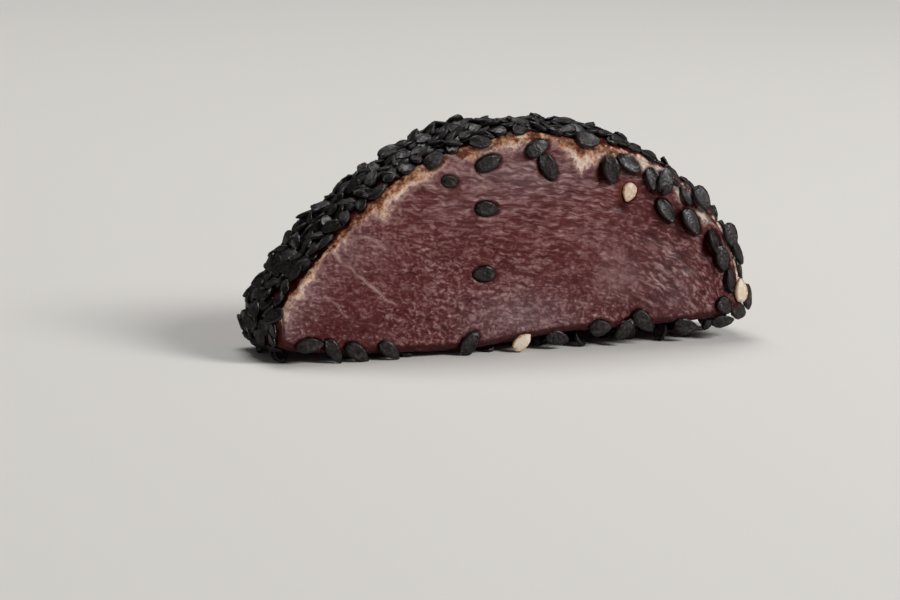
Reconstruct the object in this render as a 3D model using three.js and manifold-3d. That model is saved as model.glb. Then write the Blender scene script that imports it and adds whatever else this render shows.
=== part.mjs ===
// A thick slice of seared tuna in a crust of sesame, in millimetres with +Z up.
// The slice stands on its long straight side. Its shown cut face looks along -Y and leans
// back a little, its rounded side is up, and a crust of sesame seeds wraps the whole outer
// skin, with a few strays on both cut faces. Flesh and seeds are one fused solid.
// The origin is the middle of the slice's footprint, on the surface it stands on.
import * as THREE from "three";
import { mergeVertices } from "three/addons/utils/BufferGeometryUtils.js";
import Module from "manifold-3d";

const wasm = await Module();
wasm.setup();

// Outline of the flesh, seen square on to the cut face.
const crownX = 2.9;
const leftSpan = 30.7;
const rightSpan = 27.0;
const tipZ = 5.0;
const crownZ = 24.3;
const leftFullness = 1.85;
const rightFullness = 0.93;
const leftBluntness = 0.18;
const rightBluntness = 0.35;

// Height of the flesh over the table: the seeds under it and the lean lift the front edge,
// most at the right, where the rise starts and ends at the first two x, and a little at the
// left end, from the third x to the fourth. From front to back the underside comes down
// within a part of the depth.
const gapBack = 0.55;
const gapFront = 0.55;
const gapRightRise = 1.45;
const gapLeftRise = 0.2;
const [gapRightFrom, gapRightTo, gapLeftFrom, gapLeftTo] = [-8, 10, -16, -28];
const gapDepthShare = 0.7;

// Thickness from cut face to cut face, and how far each face leans back.
const thickness = 11.4;
const frontLean = THREE.MathUtils.degToRad(9);
const backLean = THREE.MathUtils.degToRad(6);
const footY = -7.75;
const edgeRound = 0.45;

// Middle of the footprint, as it comes out in the coordinates that the outline is drawn in.
const middleX = 1.23;
const middleY = -0.78;

// How far the skin bellies out between its two edges, and low swells of the flesh with the
// length of one wave along x, through the depth in turns, and up the cut face.
const skinBelly = 0.6;
const skinSwell = 0.25;
const skinWave = 15;
const skinWaveTurns = 0.8;
const faceSwell = 0.22;
const faceWave = 33;
const faceWaveStart = 0.8;
const faceWaveUp = 19;

// One sesame seed, a flattened drop.
const seedLength = 3.3;
const seedWidth = 1.95;
const seedThickness = 0.95;
const seedTaper = 0.28;
const seedEndsRound = 0.8;
const seedSizeSpread = 0.12;
const seedSides = 5;
const seedRings = 2;

// The crust: seeds lie in staggered rows along the skin, a little off their places. It is
// full over the left and the crown, and thins out down the right side.
const topRows = 5;
const topStep = 2.6;
const undersideRows = 4;
const undersideStep = 4.6;
const crustMargin = 0.45;
const placeStray = 0.7;
const rightShare = 0.75;
const [thinFrom, thinTo] = [6, 20];

// How proud of the skin a seed stands, how far one end tips up, how deep a seed under the
// slice bites into it, how much the table flattens it, and how proud a stray stands.
const seedProudLeast = 0.6;
const seedProudMost = 0.95;
const seedTiltMost = THREE.MathUtils.degToRad(24);
const seedBite = 0.45;
const seedFlat = 0.05;
const strayProud = 0.72;

// The flesh's own mesh, and the smallest detail that is kept when its pieces are joined.
const columns = 30;
const faceRows = 4;
const smallestDetail = 0.05;
const mergeDistance = 1e-4;

// Strays on the shown cut face and over its edges, as [x, z, turn of the long axis in
// degrees, how far the seed is pressed in]. The last dozen hang on the lower edge.
const frontStrays = [
  [-2.2, 16.4, -7, 0.15],
  [-2.8, 9.1, 178, 0.35],
  [-6.6, 19.7, -9, 0.4],
  [5.6, 20.9, -62, 0.05],
  [-1.8, 21.6, 17, 0.1],
  [4.3, 23.1, 26, 0],
  [10.8, 23.7, -39, 0.2],
  [13.4, 20.3, -86, 0.05],
  [15.8, 20.9, -37, -0.1],
  [15.6, 17.2, 68, 0.25],
  [18.7, 18.9, -75, 0],
  [20.3, 18.8, 72, -0.15],
  [20.4, 15.3, -49, 0],
  [23.6, 13.9, -55, 0],
  [26.6, 11.6, -83, -0.1],
  [27.5, 9.5, -81, -0.1],
  [28.5, 6.9, -90, -0.05],
  [27.6, 4.0, -49, 0.1],
  [29.9, 5.5, 86, -0.1],
  [31.1, 4.8, -78, 0.5],
  [-24.2, 2.1, 2, 0],
  [-21.4, 1.4, -59, 0.25],
  [-18.6, 1.2, -36, 0.3],
  [-14.7, 1.1, -41, 0.2],
  [-4.9, 1.3, 50, 0.1],
  [1.6, 1.3, 45, 0.1],
  [6.2, 1.3, -12, 0.4],
  [11.5, 2.2, 2, 0.2],
  [14.6, 1.9, 45, 0.2],
  [17, 2.7, -44, 0],
  [22.6, 1.8, -10, 0.4],
  [27.5, 2.1, 6, 0.4],
];

// Strays on the far cut face: how many, and the part of it that they are spread over.
const backStrays = 8;
const backStrayAngles = [-55, 60];
const backStrayShares = [0.15, 0.9];

// Steps of the even spread: each is irrational against the others, so no two places meet.
const spreadU = 0.7548776662466927;
const spreadV = 0.5698402909980532;
const spreadTurn = 0.6180339887498949;
const spreadSize = 0.4142135623730951;
const spreadTilt = 0.7320508075688772;
const spreadKeep = 0.2360679774997898;

const fraction = (k, step) => (0.5 + k * step) % 1;
const mix = (a, b, t) => a + (b - a) * t;

// A smooth step from 0, at from, to 1, at to.
function rise(value, from, to) {
  const t = Math.min(1, Math.max(0, (value - from) / (to - from)));
  return t * t * (3 - 2 * t);
}

// x of the outline at an angle from -90 degrees, the left tip, to +90, the right tip.
function outlineX(angle) {
  const span = angle < 0 ? leftSpan : rightSpan;
  return crownX + span * Math.sin(angle);
}

function topZ(angle) {
  const fullness = angle < 0 ? leftFullness : rightFullness;
  const share = Math.pow(Math.max(Math.cos(angle), 0), fullness);
  return tipZ + (crownZ - tipZ) * share;
}

// depth runs from 0 at the shown face to 1 at the far one.
function undersideZ(angle, depth) {
  const x = outlineX(angle);
  const rightRise = gapRightRise * rise(x, gapRightFrom, gapRightTo);
  const leftRise = gapLeftRise * rise(x, gapLeftFrom, gapLeftTo);
  const gap = mix(gapFront + rightRise + leftRise, gapBack, rise(depth, 0, gapDepthShare));
  const bluntness = angle < 0 ? leftBluntness : rightBluntness;
  const share = Math.pow(Math.max(Math.cos(angle), 0), bluntness);
  return tipZ - (tipZ - gap) * share;
}

function faceY(z, depth) {
  const front = footY + z * Math.tan(frontLean);
  const back = footY + thickness + z * Math.tan(backLean);
  return mix(front, back, depth);
}

// A point of the skin. The skin bellies out between its two edges, swells by slow waves,
// and draws in by inset at the edges themselves.
function skinPoint(angle, isTop, depth, inset = 0) {
  const belly = skinBelly * Math.sin(Math.PI * depth);
  const x = outlineX(angle) + belly * Math.sin(angle);
  const wave = skinSwell * Math.sin(2 * Math.PI * (x / skinWave + skinWaveTurns * depth));
  const lift = isTop ? (belly + wave) * Math.cos(angle) : 0;
  const z = (isTop ? topZ(angle) : undersideZ(angle, depth)) + lift;
  const midX = crownX + (rightSpan - leftSpan) / 2;
  const midZ = (crownZ + gapBack) / 2;
  const halfX = (rightSpan + leftSpan) / 2;
  const halfZ = (crownZ - gapBack) / 2;
  const drawnX = midX + (x - midX) * (1 - inset / halfX);
  const drawnZ = midZ + (z - midZ) * (1 - inset / halfZ);
  return new THREE.Vector3(drawnX, faceY(drawnZ, depth), drawnZ);
}

// A point of a cut face, share of the way from the underside to the top of its column.
function facePoint(angle, share, depth) {
  const low = skinPoint(angle, false, depth, edgeRound);
  const high = skinPoint(angle, true, depth, edgeRound);
  const point = low.lerp(high, share);
  const hold = 4 * share * (1 - share) * Math.cos(angle);
  const across = Math.sin((2 * Math.PI * point.x) / faceWave + faceWaveStart);
  const up = Math.sin((2 * Math.PI * point.z) / faceWaveUp);
  point.y += faceSwell * hold * across * up;
  return point;
}

// Rows of the skin from front edge to back edge, as [depth, inset].
const edgeDepth = edgeRound / thickness;
const skinRows = [
  [0, edgeRound],
  [edgeDepth, 0],
  [0.5, 0],
  [1 - edgeDepth, 0],
  [1, edgeRound],
];

const columnAngle = (i) => THREE.MathUtils.degToRad(-90 + (180 * i) / columns);

// The flesh as one closed mesh: a skin round the outline, and a grid on each cut face.
function fleshGeometry() {
  const points = [];
  const faces = [];
  const add = (p) => points.push(p.x, p.y, p.z) / 3 - 1;
  const quad = (a, b, c, d) => faces.push(a, b, c, a, c, d);
  // The loop runs over the top from the left tip to the right one and back underneath.
  const loop = [];
  for (let i = 0; i <= columns; i++) loop.push([columnAngle(i), true]);
  for (let i = columns - 1; i > 0; i--) loop.push([columnAngle(i), false]);
  const rows = skinRows.map(([depth, inset]) =>
    loop.map(([angle, isTop]) => add(skinPoint(angle, isTop, depth, inset))),
  );
  for (let r = 0; r + 1 < rows.length; r++) {
    for (let i = 0; i < loop.length; i++) {
      const j = (i + 1) % loop.length;
      quad(rows[r][i], rows[r][j], rows[r + 1][j], rows[r + 1][i]);
    }
  }
  for (const depth of [0, 1]) {
    const edge = rows[depth ? rows.length - 1 : 0];
    const grid = [];
    for (let i = 1; i < columns; i++) {
      const column = [edge[loop.length - i]];
      for (let r = 1; r < faceRows; r++) {
        column.push(add(facePoint(columnAngle(i), r / faceRows, depth)));
      }
      column.push(edge[i]);
      grid.push(column);
    }
    const turn = (a, b, c, d) => (depth ? quad(d, c, b, a) : quad(a, b, c, d));
    for (let i = 0; i + 1 < grid.length; i++) {
      for (let r = 0; r < faceRows; r++) {
        turn(grid[i][r], grid[i + 1][r], grid[i + 1][r + 1], grid[i][r + 1]);
      }
    }
    const [first, last] = [grid[0], grid[grid.length - 1]];
    for (let r = 0; r < faceRows; r++) {
      const ends = [
        [edge[0], first[r], first[r + 1]],
        [edge[columns], last[r + 1], last[r]],
      ];
      for (const [a, b, c] of ends) faces.push(...(depth ? [c, b, a] : [a, b, c]));
    }
  }
  const geometry = new THREE.BufferGeometry();
  geometry.setAttribute("position", new THREE.Float32BufferAttribute(points, 3));
  geometry.setIndex(faces);
  return geometry;
}

// A seed: rings of a flattened drop between two points, its blunt end towards -X.
function seedGeometry() {
  const points = [-seedLength / 2, 0, 0];
  const faces = [];
  for (let r = 1; r <= seedRings; r++) {
    const along = -1 + (2 * r) / (seedRings + 1);
    const girth = Math.sqrt(1 - along * along * seedEndsRound) * (1 - seedTaper * along);
    for (let s = 0; s < seedSides; s++) {
      const turn = (2 * Math.PI * s) / seedSides;
      points.push((along * seedLength) / 2);
      points.push(((girth * seedWidth) / 2) * Math.cos(turn));
      points.push(((girth * seedThickness) / 2) * Math.sin(turn));
    }
  }
  points.push(seedLength / 2, 0, 0);
  const last = points.length / 3 - 1;
  for (let s = 0; s < seedSides; s++) {
    const next = (s + 1) % seedSides;
    faces.push(0, 1 + next, 1 + s);
    for (let r = 0; r + 1 < seedRings; r++) {
      const [a, b] = [1 + r * seedSides + s, 1 + r * seedSides + next];
      faces.push(a, b, b + seedSides, a, b + seedSides, a + seedSides);
    }
    faces.push(last, last - seedSides + s, last - seedSides + next);
  }
  const geometry = new THREE.BufferGeometry();
  geometry.setAttribute("position", new THREE.Float32BufferAttribute(points, 3));
  geometry.setIndex(faces);
  return geometry;
}

// Lays a seed on a point: its flat side on the surface, turned about the normal, then tilted.
function seedMatrix(point, normal, along, turn, tilt, size) {
  const x = along.clone().addScaledVector(normal, -along.dot(normal)).normalize();
  const y = new THREE.Vector3().crossVectors(normal, x);
  const basis = new THREE.Matrix4().makeBasis(x, y, normal);
  const spin = new THREE.Matrix4().makeRotationZ(turn);
  const lean = new THREE.Matrix4().makeRotationY(tilt);
  const scale = new THREE.Matrix4().makeScale(size, size, size);
  const place = new THREE.Matrix4().makeTranslation(point.x, point.y, point.z);
  return place.multiply(basis).multiply(spin).multiply(lean).multiply(scale);
}

// Share of the places on the skin that hold a seed.
function crustShare(x, isTop) {
  return isTop ? mix(1, rightShare, rise(x, thinFrom, thinTo)) : 1;
}

// Places at equal steps along one side of the outline, halfway into the slice.
function evenPlaces(isTop, step) {
  const pieces = 720;
  const end = 0.002;
  const table = [];
  let length = 0;
  let before = null;
  for (let i = 0; i <= pieces; i++) {
    const angle = THREE.MathUtils.degToRad(-90 + (180 * i) / pieces);
    const point = skinPoint(angle, isTop, 0.5);
    if (before) length += Math.hypot(point.x - before.x, point.z - before.z);
    table.push({ angle, length });
    before = point;
  }
  const count = Math.round(length / step);
  const angleAt = (place) => {
    const wanted = Math.min(Math.max(place / count, end), 1 - end) * length;
    return table.find((entry) => entry.length >= wanted).angle;
  };
  return { count, angleAt };
}

// Directions on the skin: straight out of it, and along the outline.
function skinFrame(angle, isTop, depth) {
  const step = 0.01;
  const along = skinPoint(angle + step, isTop, depth).sub(skinPoint(angle - step, isTop, depth));
  const inwards = skinPoint(angle, isTop, depth + step).sub(skinPoint(angle, isTop, depth));
  const normal = new THREE.Vector3().crossVectors(along, inwards).normalize();
  return { normal: isTop ? normal : normal.negate(), along };
}

// Lays a seed on the skin, its outer side a little proud and one end tipped up.
function seedOnSkin(k, angle, isTop, depth) {
  const { normal, along } = skinFrame(angle, isTop, depth);
  const size = 1 + seedSizeSpread * (2 * fraction(k, spreadSize) - 1);
  const turn = 2 * Math.PI * fraction(k, spreadTurn);
  const tilt = seedTiltMost * (2 * fraction(k, spreadTilt) - 1);
  const proud = mix(seedProudLeast, seedProudMost, fraction(k, spreadKeep));
  const point = skinPoint(angle, isTop, depth);
  point.addScaledVector(normal, proud - (size * seedThickness) / 2);
  return seedMatrix(point, normal, along, turn, tilt, size);
}

// Props a seed between the underside and the table, tipped up as far as the gap is high.
function seedUnderneath(k, angle, depth) {
  const point = skinPoint(angle, false, depth);
  const reach = point.z + seedBite;
  const share = (reach ** 2 - seedThickness ** 2) / (seedLength ** 2 - seedThickness ** 2);
  if (share > 1) return seedOnSkin(k, angle, false, depth);
  const tilt = Math.asin(Math.sqrt(Math.max(share, 0)));
  const down = new THREE.Vector3(0, 0, -1);
  const right = new THREE.Vector3(1, 0, 0);
  point.z = reach / 2 - seedFlat;
  return seedMatrix(point, down, right, 2 * Math.PI * fraction(k, spreadTurn), tilt, 1);
}

// Seeds of one side of the skin, row by row.
function crustSeeds(isTop) {
  const rows = isTop ? topRows : undersideRows;
  const { count, angleAt } = evenPlaces(isTop, isTop ? topStep : undersideStep);
  const seeds = [];
  for (let row = 0; row < rows; row++) {
    for (let column = 0; column < count; column++) {
      const k = 1 + row * count + column;
      const strayAlong = placeStray * (fraction(k, spreadU) - 0.5);
      const strayDeep = placeStray * (fraction(k, spreadV) - 0.5);
      const angle = angleAt(column + 0.25 + 0.5 * (row % 2) + strayAlong);
      if (fraction(k, spreadKeep) >= crustShare(outlineX(angle), isTop)) continue;
      const deep = (row + 0.5 + strayDeep) / rows;
      const depth = mix(crustMargin, thickness - crustMargin, deep) / thickness;
      seeds.push(isTop ? seedOnSkin(k, angle, true, depth) : seedUnderneath(k, angle, depth));
    }
  }
  return seeds;
}

// Seeds that lie on the two cut faces.
function straySeeds() {
  const seeds = [];
  const resting = strayProud - seedThickness / 2;
  const right = new THREE.Vector3(1, 0, 0);
  const normals = [
    new THREE.Vector3(0, -Math.cos(frontLean), Math.sin(frontLean)),
    new THREE.Vector3(0, Math.cos(backLean), -Math.sin(backLean)),
  ];
  for (const [x, z, degrees, sink] of frontStrays) {
    const point = new THREE.Vector3(x, faceY(z, 0), z);
    point.addScaledVector(normals[0], resting - sink);
    const turn = THREE.MathUtils.degToRad(degrees);
    seeds.push(seedMatrix(point, normals[0], right, turn, 0, 1));
  }
  for (let k = 1; k <= backStrays; k++) {
    const angle = THREE.MathUtils.degToRad(mix(...backStrayAngles, fraction(k, spreadU)));
    const point = facePoint(angle, mix(...backStrayShares, fraction(k, spreadV)), 1);
    point.addScaledVector(normals[1], resting);
    const turn = 2 * Math.PI * fraction(k, spreadTurn);
    seeds.push(seedMatrix(point, normals[1], right, turn, 0, 1));
  }
  return seeds;
}

// A closed geometry as a solid that can be joined.
function solidOf(geometry) {
  const merged = mergeVertices(geometry, mergeDistance);
  return new wasm.Manifold(
    new wasm.Mesh({
      numProp: 3,
      vertProperties: new Float32Array(merged.attributes.position.array),
      triVerts: new Uint32Array(merged.index.array),
    }),
  );
}

// The table's solid, which cuts off what would sink into it.
function tableGeometry() {
  const room = 2 * (leftSpan + rightSpan);
  const table = new THREE.BoxGeometry(room, room, room);
  table.deleteAttribute("normal");
  table.deleteAttribute("uv");
  return table.translate(0, 0, -room / 2);
}

const flesh = solidOf(fleshGeometry());
const seeds = [...crustSeeds(true), ...crustSeeds(false), ...straySeeds()].map((matrix) =>
  solidOf(seedGeometry().applyMatrix4(matrix)),
);
const joined = wasm.Manifold.union([flesh, ...seeds]).subtract(solidOf(tableGeometry()));
const bodies = joined.simplify(smallestDetail).decompose();
const largest = bodies.sort((a, b) => b.volume() - a.volume())[0];
const mesh = largest.getMesh();

const sliceGeometry = new THREE.BufferGeometry();
sliceGeometry.setAttribute("position", new THREE.BufferAttribute(mesh.vertProperties, 3));
sliceGeometry.setIndex(new THREE.BufferAttribute(mesh.triVerts, 1));
const searedTuna = new THREE.MeshStandardMaterial({
  color: 0x6b4443,
  roughness: 0.45,
  metalness: 0,
});
const slice = new THREE.Mesh(sliceGeometry, searedTuna);
slice.name = "tuna_slice";
slice.position.set(-middleX, -middleY, 0);

const part = new THREE.Group();
part.add(slice);
export default part;
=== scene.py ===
"""A thick slice of seared tuna in a crust of sesame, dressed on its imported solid.

The slice stands on its long straight side with its shown cut face towards -Y. The flesh is
one closed surface with its muscle fibres in relief, and the seeds are meshes at true size.
Shapes are worked out in millimetres, in the coordinates that the outline is drawn in, and
are put into the shared frame in metres.
"""

from functools import partial

import bpy
import numpy as np
from bpy.props import FloatProperty, FloatVectorProperty, PointerProperty
from mathutils import Matrix, Vector


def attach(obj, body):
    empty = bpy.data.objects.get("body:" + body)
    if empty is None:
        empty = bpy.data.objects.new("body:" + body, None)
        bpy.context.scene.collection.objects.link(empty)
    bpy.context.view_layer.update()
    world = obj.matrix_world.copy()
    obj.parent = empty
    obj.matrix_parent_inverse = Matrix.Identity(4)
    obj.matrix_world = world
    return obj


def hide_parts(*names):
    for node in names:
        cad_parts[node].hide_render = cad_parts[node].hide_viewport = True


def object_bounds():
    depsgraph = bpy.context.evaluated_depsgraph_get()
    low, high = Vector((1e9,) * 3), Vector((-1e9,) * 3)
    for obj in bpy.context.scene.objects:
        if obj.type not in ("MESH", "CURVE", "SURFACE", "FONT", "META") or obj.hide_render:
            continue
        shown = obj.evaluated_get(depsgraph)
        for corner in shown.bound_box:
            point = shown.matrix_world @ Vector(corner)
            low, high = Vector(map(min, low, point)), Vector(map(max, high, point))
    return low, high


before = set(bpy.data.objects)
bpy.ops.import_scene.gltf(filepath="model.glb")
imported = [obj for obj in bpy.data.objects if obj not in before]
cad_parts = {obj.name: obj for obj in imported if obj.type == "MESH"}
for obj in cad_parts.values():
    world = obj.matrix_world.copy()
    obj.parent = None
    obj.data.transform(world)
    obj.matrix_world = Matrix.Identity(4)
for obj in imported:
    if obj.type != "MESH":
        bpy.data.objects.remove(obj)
CAD_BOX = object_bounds()

bl_info = {
    "name": "Seared tuna slice",
    "version": (1, 0, 0),
    "blender": (4, 5, 0),
    "location": "3D View > Sidebar > Tuna",
    "description": "A thick slice of seared tuna in a crust of sesame seeds, on a plain stage",
    "category": "Add Mesh",
}

MM = 0.001
NODE = "tuna_slice"
BODY = "root"
RIGHTWARDS = (1.0, 0.0, 0.0)
DOWNWARDS = (0.0, 0.0, -1.0)

# The middle of the footprint, in the coordinates that the outline is drawn in.
DRAWING_MIDDLE = np.array([1.23, -0.78, 0.0])

# Outline of the flesh, seen square on to the cut face. Pairs are left and right of the crown.
CROWN_X = 2.9
CROWN_Z = 24.3
TIP_Z = 5.0
SPANS = (30.7, 27.0)
FULLNESS = (1.85, 0.93)
BLUNTNESS = (0.18, 0.35)

# Height of the flesh over the table, which the seeds under it and its lean lift in front.
GAP = 0.55
GAP_RIGHT_RISE = 1.45
GAP_RIGHT_SPAN = (-8, 10)
GAP_LEFT_RISE = 0.2
GAP_LEFT_SPAN = (16, 28)
GAP_DEPTH_SHARE = 0.7

# Thickness from cut face to cut face, and how far each face leans back.
THICKNESS = 11.4
FRONT_LEAN = np.radians(9)
BACK_LEAN = np.radians(6)
FOOT_Y = -7.75

# Radius of the rounded edges, and how far in from them relief grows to its full height.
EDGE_ROUND = 0.45
FACE_HOLD = 0.5
SKIN_HOLD = 0.7

# Slow swells of the skin and of the cut faces.
SKIN_BELLY = 0.6
SKIN_SWELL = 0.25
SKIN_WAVE = 15
SKIN_WAVE_TURNS = 0.8
FACE_SWELL = 0.22
FACE_WAVE = 33
FACE_WAVE_START = 0.8
FACE_WAVE_UP = 19

# Grids: columns along the outline, rows up the shown face and the far one, rows of the skin.
COLUMNS = 300
FRONT_ROWS = 236
BACK_ROWS = 26
SKIN_ROWS = 18
ROUND_ROWS = 4

# Cells before a noise repeats, steps that the outline is measured by, and two small values.
NOISE_CELLS = 256
OUTLINE_STEPS = 2000
SMALL_STEP = 0.01
TINY = 1e-12


def linear(text):
    """An sRGB hex colour as linear red, green, blue and alpha."""
    parts = np.array([int(text[i : i + 2], 16) for i in (1, 3, 5)]) / 255
    low = parts / 12.92
    high = ((parts + 0.055) / 1.055) ** 2.4
    return (*np.where(parts <= 0.04045, low, high).tolist(), 1.0)


def plain(value):
    """A colour given in hex as linear values, and anything else as it is."""
    return linear(value) if isinstance(value, str) else value


def mix(a, b, t):
    return a + (b - a) * t


def rise(value, start, end):
    """A smooth step from 0, at start, to 1, at end."""
    t = np.clip((value - start) / (end - start), 0, 1)
    return t * t * (3 - 2 * t)


def unit(vectors):
    return vectors / np.maximum(np.linalg.norm(vectors, axis=-1, keepdims=True), TINY)


def noise(x, y, seed):
    """Gradient noise on a plane, about -1 to 1.

    Each corner of a unit grid has a random slope, and a point takes the smooth blend of what
    the four slopes round it give there."""
    turns = np.random.default_rng(seed).uniform(0, 2 * np.pi, (NOISE_CELLS, NOISE_CELLS))
    cell_x, cell_y = np.floor(x).astype(int), np.floor(y).astype(int)
    in_x, in_y = x - cell_x, y - cell_y
    corners = []
    for step_x in (0, 1):
        for step_y in (0, 1):
            turn = turns[(cell_x + step_x) % NOISE_CELLS, (cell_y + step_y) % NOISE_CELLS]
            corners.append(np.cos(turn) * (in_x - step_x) + np.sin(turn) * (in_y - step_y))
    blend_x, blend_y = rise(in_x, 0, 1), rise(in_y, 0, 1)
    return 1.5 * mix(mix(*corners[:2], blend_y), mix(*corners[2:], blend_y), blend_x)


def noise_sum(layers, x, y, seed):
    """Sum of noises, each by its sizes along both ways and its strength."""
    return sum(
        strength * noise(x / size_x, y / size_y, seed + i)
        for i, (size_x, size_y, strength) in enumerate(layers)
    )


def noise_pair(x, y, size, seed):
    """Two noises of one size, to lead a course astray both ways."""
    return np.stack([noise(x / size, y / size, seed + i) for i in (0, 1)])


def outline_x(angle):
    """x of the outline: the crown's x plus the span on that side times the sine of the angle."""
    return CROWN_X + np.where(angle < 0, *SPANS) * np.sin(angle)


def top_z(angle):
    """Height of the rounded side: the cosine to a power that makes that side full or lean."""
    fullness = np.where(angle < 0, *FULLNESS)
    return TIP_Z + (CROWN_Z - TIP_Z) * np.maximum(np.cos(angle), 0) ** fullness


def underside_z(angle, depth):
    """Height of the straight side, lifted in front at both ends and blunt at the tips."""
    x = outline_x(angle)
    lift = GAP_RIGHT_RISE * rise(x, *GAP_RIGHT_SPAN) + GAP_LEFT_RISE * rise(-x, *GAP_LEFT_SPAN)
    gap = mix(GAP + lift, GAP, rise(depth, 0, GAP_DEPTH_SHARE))
    bluntness = np.where(angle < 0, *BLUNTNESS)
    return TIP_Z - (TIP_Z - gap) * np.maximum(np.cos(angle), 0) ** bluntness


def face_y(z, depth):
    """y of a plane between the shown face, at depth 0, and the far one, at depth 1."""
    front = FOOT_Y + z * np.tan(FRONT_LEAN)
    back = FOOT_Y + THICKNESS + z * np.tan(BACK_LEAN)
    return mix(front, back, depth)


def skin_point(angle, is_top, depth, inset=0.0):
    """A point of the skin: the outline, bellied out by a half sine from edge to edge, swelled
    by a slow wave on top, and drawn in towards the middle by the inset."""
    belly = SKIN_BELLY * np.sin(np.pi * depth)
    x = outline_x(angle) + belly * np.sin(angle)
    wave = SKIN_SWELL * np.sin(2 * np.pi * (x / SKIN_WAVE + SKIN_WAVE_TURNS * depth))
    top = top_z(angle) + (belly + wave) * np.cos(angle)
    z = np.where(is_top, top, underside_z(angle, depth))
    middle_x = CROWN_X + (SPANS[1] - SPANS[0]) / 2
    middle_z = (CROWN_Z + GAP) / 2
    x = middle_x + (x - middle_x) * (1 - inset / (sum(SPANS) / 2))
    z = middle_z + (z - middle_z) * (1 - inset / ((CROWN_Z - GAP) / 2))
    return np.stack(np.broadcast_arrays(x, face_y(z, depth), z), -1)


def skin_frame(angle, is_top, depth):
    """A point of the skin, and unit vectors out of it and along the outline, by small steps."""
    point = skin_point(angle, is_top, depth)
    ahead = skin_point(angle + SMALL_STEP, is_top, depth)
    along = ahead - skin_point(angle - SMALL_STEP, is_top, depth)
    normal = np.cross(along, skin_point(angle, is_top, depth + SMALL_STEP) - point)
    return point, unit(np.where(is_top, 1, -1) * normal), unit(along)


def angles_by_length(is_top):
    """Angles in even steps along one side of the outline, and the length up to each."""
    angle = np.linspace(-np.pi / 2, np.pi / 2, OUTLINE_STEPS + 1)
    points = skin_point(angle, is_top, 0.5)
    steps = np.hypot(np.diff(points[:, 0]), np.diff(points[:, 2]))
    return angle, np.concatenate(([0], np.cumsum(steps)))


def even_angles(is_top, count):
    """Angles of count + 1 points at even lengths along one side of the outline."""
    angle, length = angles_by_length(is_top)
    return np.interp(np.linspace(0, length[-1], count + 1), length, angle)


def distance_to(points, path):
    """Distance of many points to a path of straight pieces, all in the plane of the face."""
    nearest = np.full(len(points), np.inf)
    for start, end in zip(path[:-1], path[1:]):
        piece = end - start
        share = np.clip((points - start) @ piece / max(piece @ piece, TINY), 0, 1)
        away = points - start - share[:, None] * piece
        nearest = np.minimum(nearest, np.hypot(away[:, 0], away[:, 1]))
    return nearest


# How the muscle fibres run over the shown face: at places given by x and z, how many degrees
# they fall to the right.
FIBRE_GUIDES = [
    (-29, 4, 16), (-26, 5, 14), (-20, 10, 8), (-17, 7, 9), (-14, 13, 2), (-12, 16, 2), (-8, 17, 2),
    (-8, 2, 20), (-7, 6, 17), (-3, 13, 3), (-3, 20, 12), (2, 17, 4), (2, 21, 20), (-2, 5, 18),
    (3, 5, 18), (4, 10, 1), (6, 14, -5), (6, 19, 15), (8, 16, -4), (10, 8, 8), (11, 18, 3),
    (12, 21, 8), (14, 3, 20), (14, 14, -4), (16, 17, 3), (17, 7, 32), (19, 3, 36), (20, 14, 26),
    (22, 10, 34), (25, 6, 42), (28, 6, 44),
]
GRAIN_SPAN = 30
GRAIN_DEGREE = 4
GRAIN_EASE = 0.02
GRAIN_HOLD = 2

# Layers of the fibres: width in millimetres, how many times longer where they are short and
# where they are drawn out, how strong each is in the colour, and in the relief.
FIBRE_LAYERS = [
    (1.9, 1.3, 2.4, 0.16, 0.7), (0.95, 1.6, 3.2, 0.36, 0.8), (0.5, 1.8, 3.6, 0.55, 0.5),
]
WAVER = 0.2
WAVER_SIZE = 1.1

# Noises over the flesh, by their sizes along x and z and their strengths.
LUMPS = [(3.2, 2.1, 2.2)]
FURROW_PATCHES = [(1.5, 1.1, 1)]
ROUGH_PATCHES = [(4, 3, 0.3)]
BREAKS = [(1.2, 0.8, 1.2)]
CRUMBS = [(0.7, 0.6, 0.07), (0.35, 0.3, 0.042)]
SKIN_BUMPS = [(1.6, 1.3, 0.1), (0.6, 0.5, 0.05)]

# Thin furrows between the fibres: millimetres apart, how many times longer, how wide, how
# strong in the colour, how deep, how much of the face shows them, and how weak at the least.
# Their darker colour is painted shade.
FURROW_SPACING = 0.85
FURROW_LONGER = 4.5
FURROW_WIDTH = 0.12
FURROW_SHADE = 0.9
FURROW_DEPTH = 0.03
FURROW_SHOWN = 0.45
FURROW_LEAST = 0.3

# Width of the seared rim along the shown face in millimetres, and how brown it is, by x.
RIM = [
    (-31, 2.8, 0), (-29, 2.5, -0.1), (-28, 1.6, -0.2), (-27, 0.8, -0.3), (-25, 0.3, -0.4),
    (-23, 0.1, -0.3), (-21.8, -0.9, -0.3), (-20.4, -0.2, -0.1), (-18.4, 0.8, 0.5), (-17, 0.9, 0.2),
    (-15, 1.2, 0.2), (-12, 1.2, 0), (-9, 1, 0.3), (-6, 0.8, 0.8), (-4, 0.7, 0.3), (-1, 0.7, 0.1),
    (1, 1.1, 0.1), (4, 0.9, 0.1), (7, 0.8, 0.4), (8.6, 1.2, 0.3), (9.8, 3.1, 0.5), (11.2, 1.1, 0.2),
    (13, 1.4, -0.1), (15.5, 1.6, -0.3), (17, 0.6, -0.6), (18.8, 1.6, -0.9), (21, 0.3, -0.9),
    (22.4, 1.5, -1), (23.8, -0.4, -1), (25.2, 0.8, -1), (26.8, -0.6, -0.9), (30, -0.4, -0.8),
]


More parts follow.
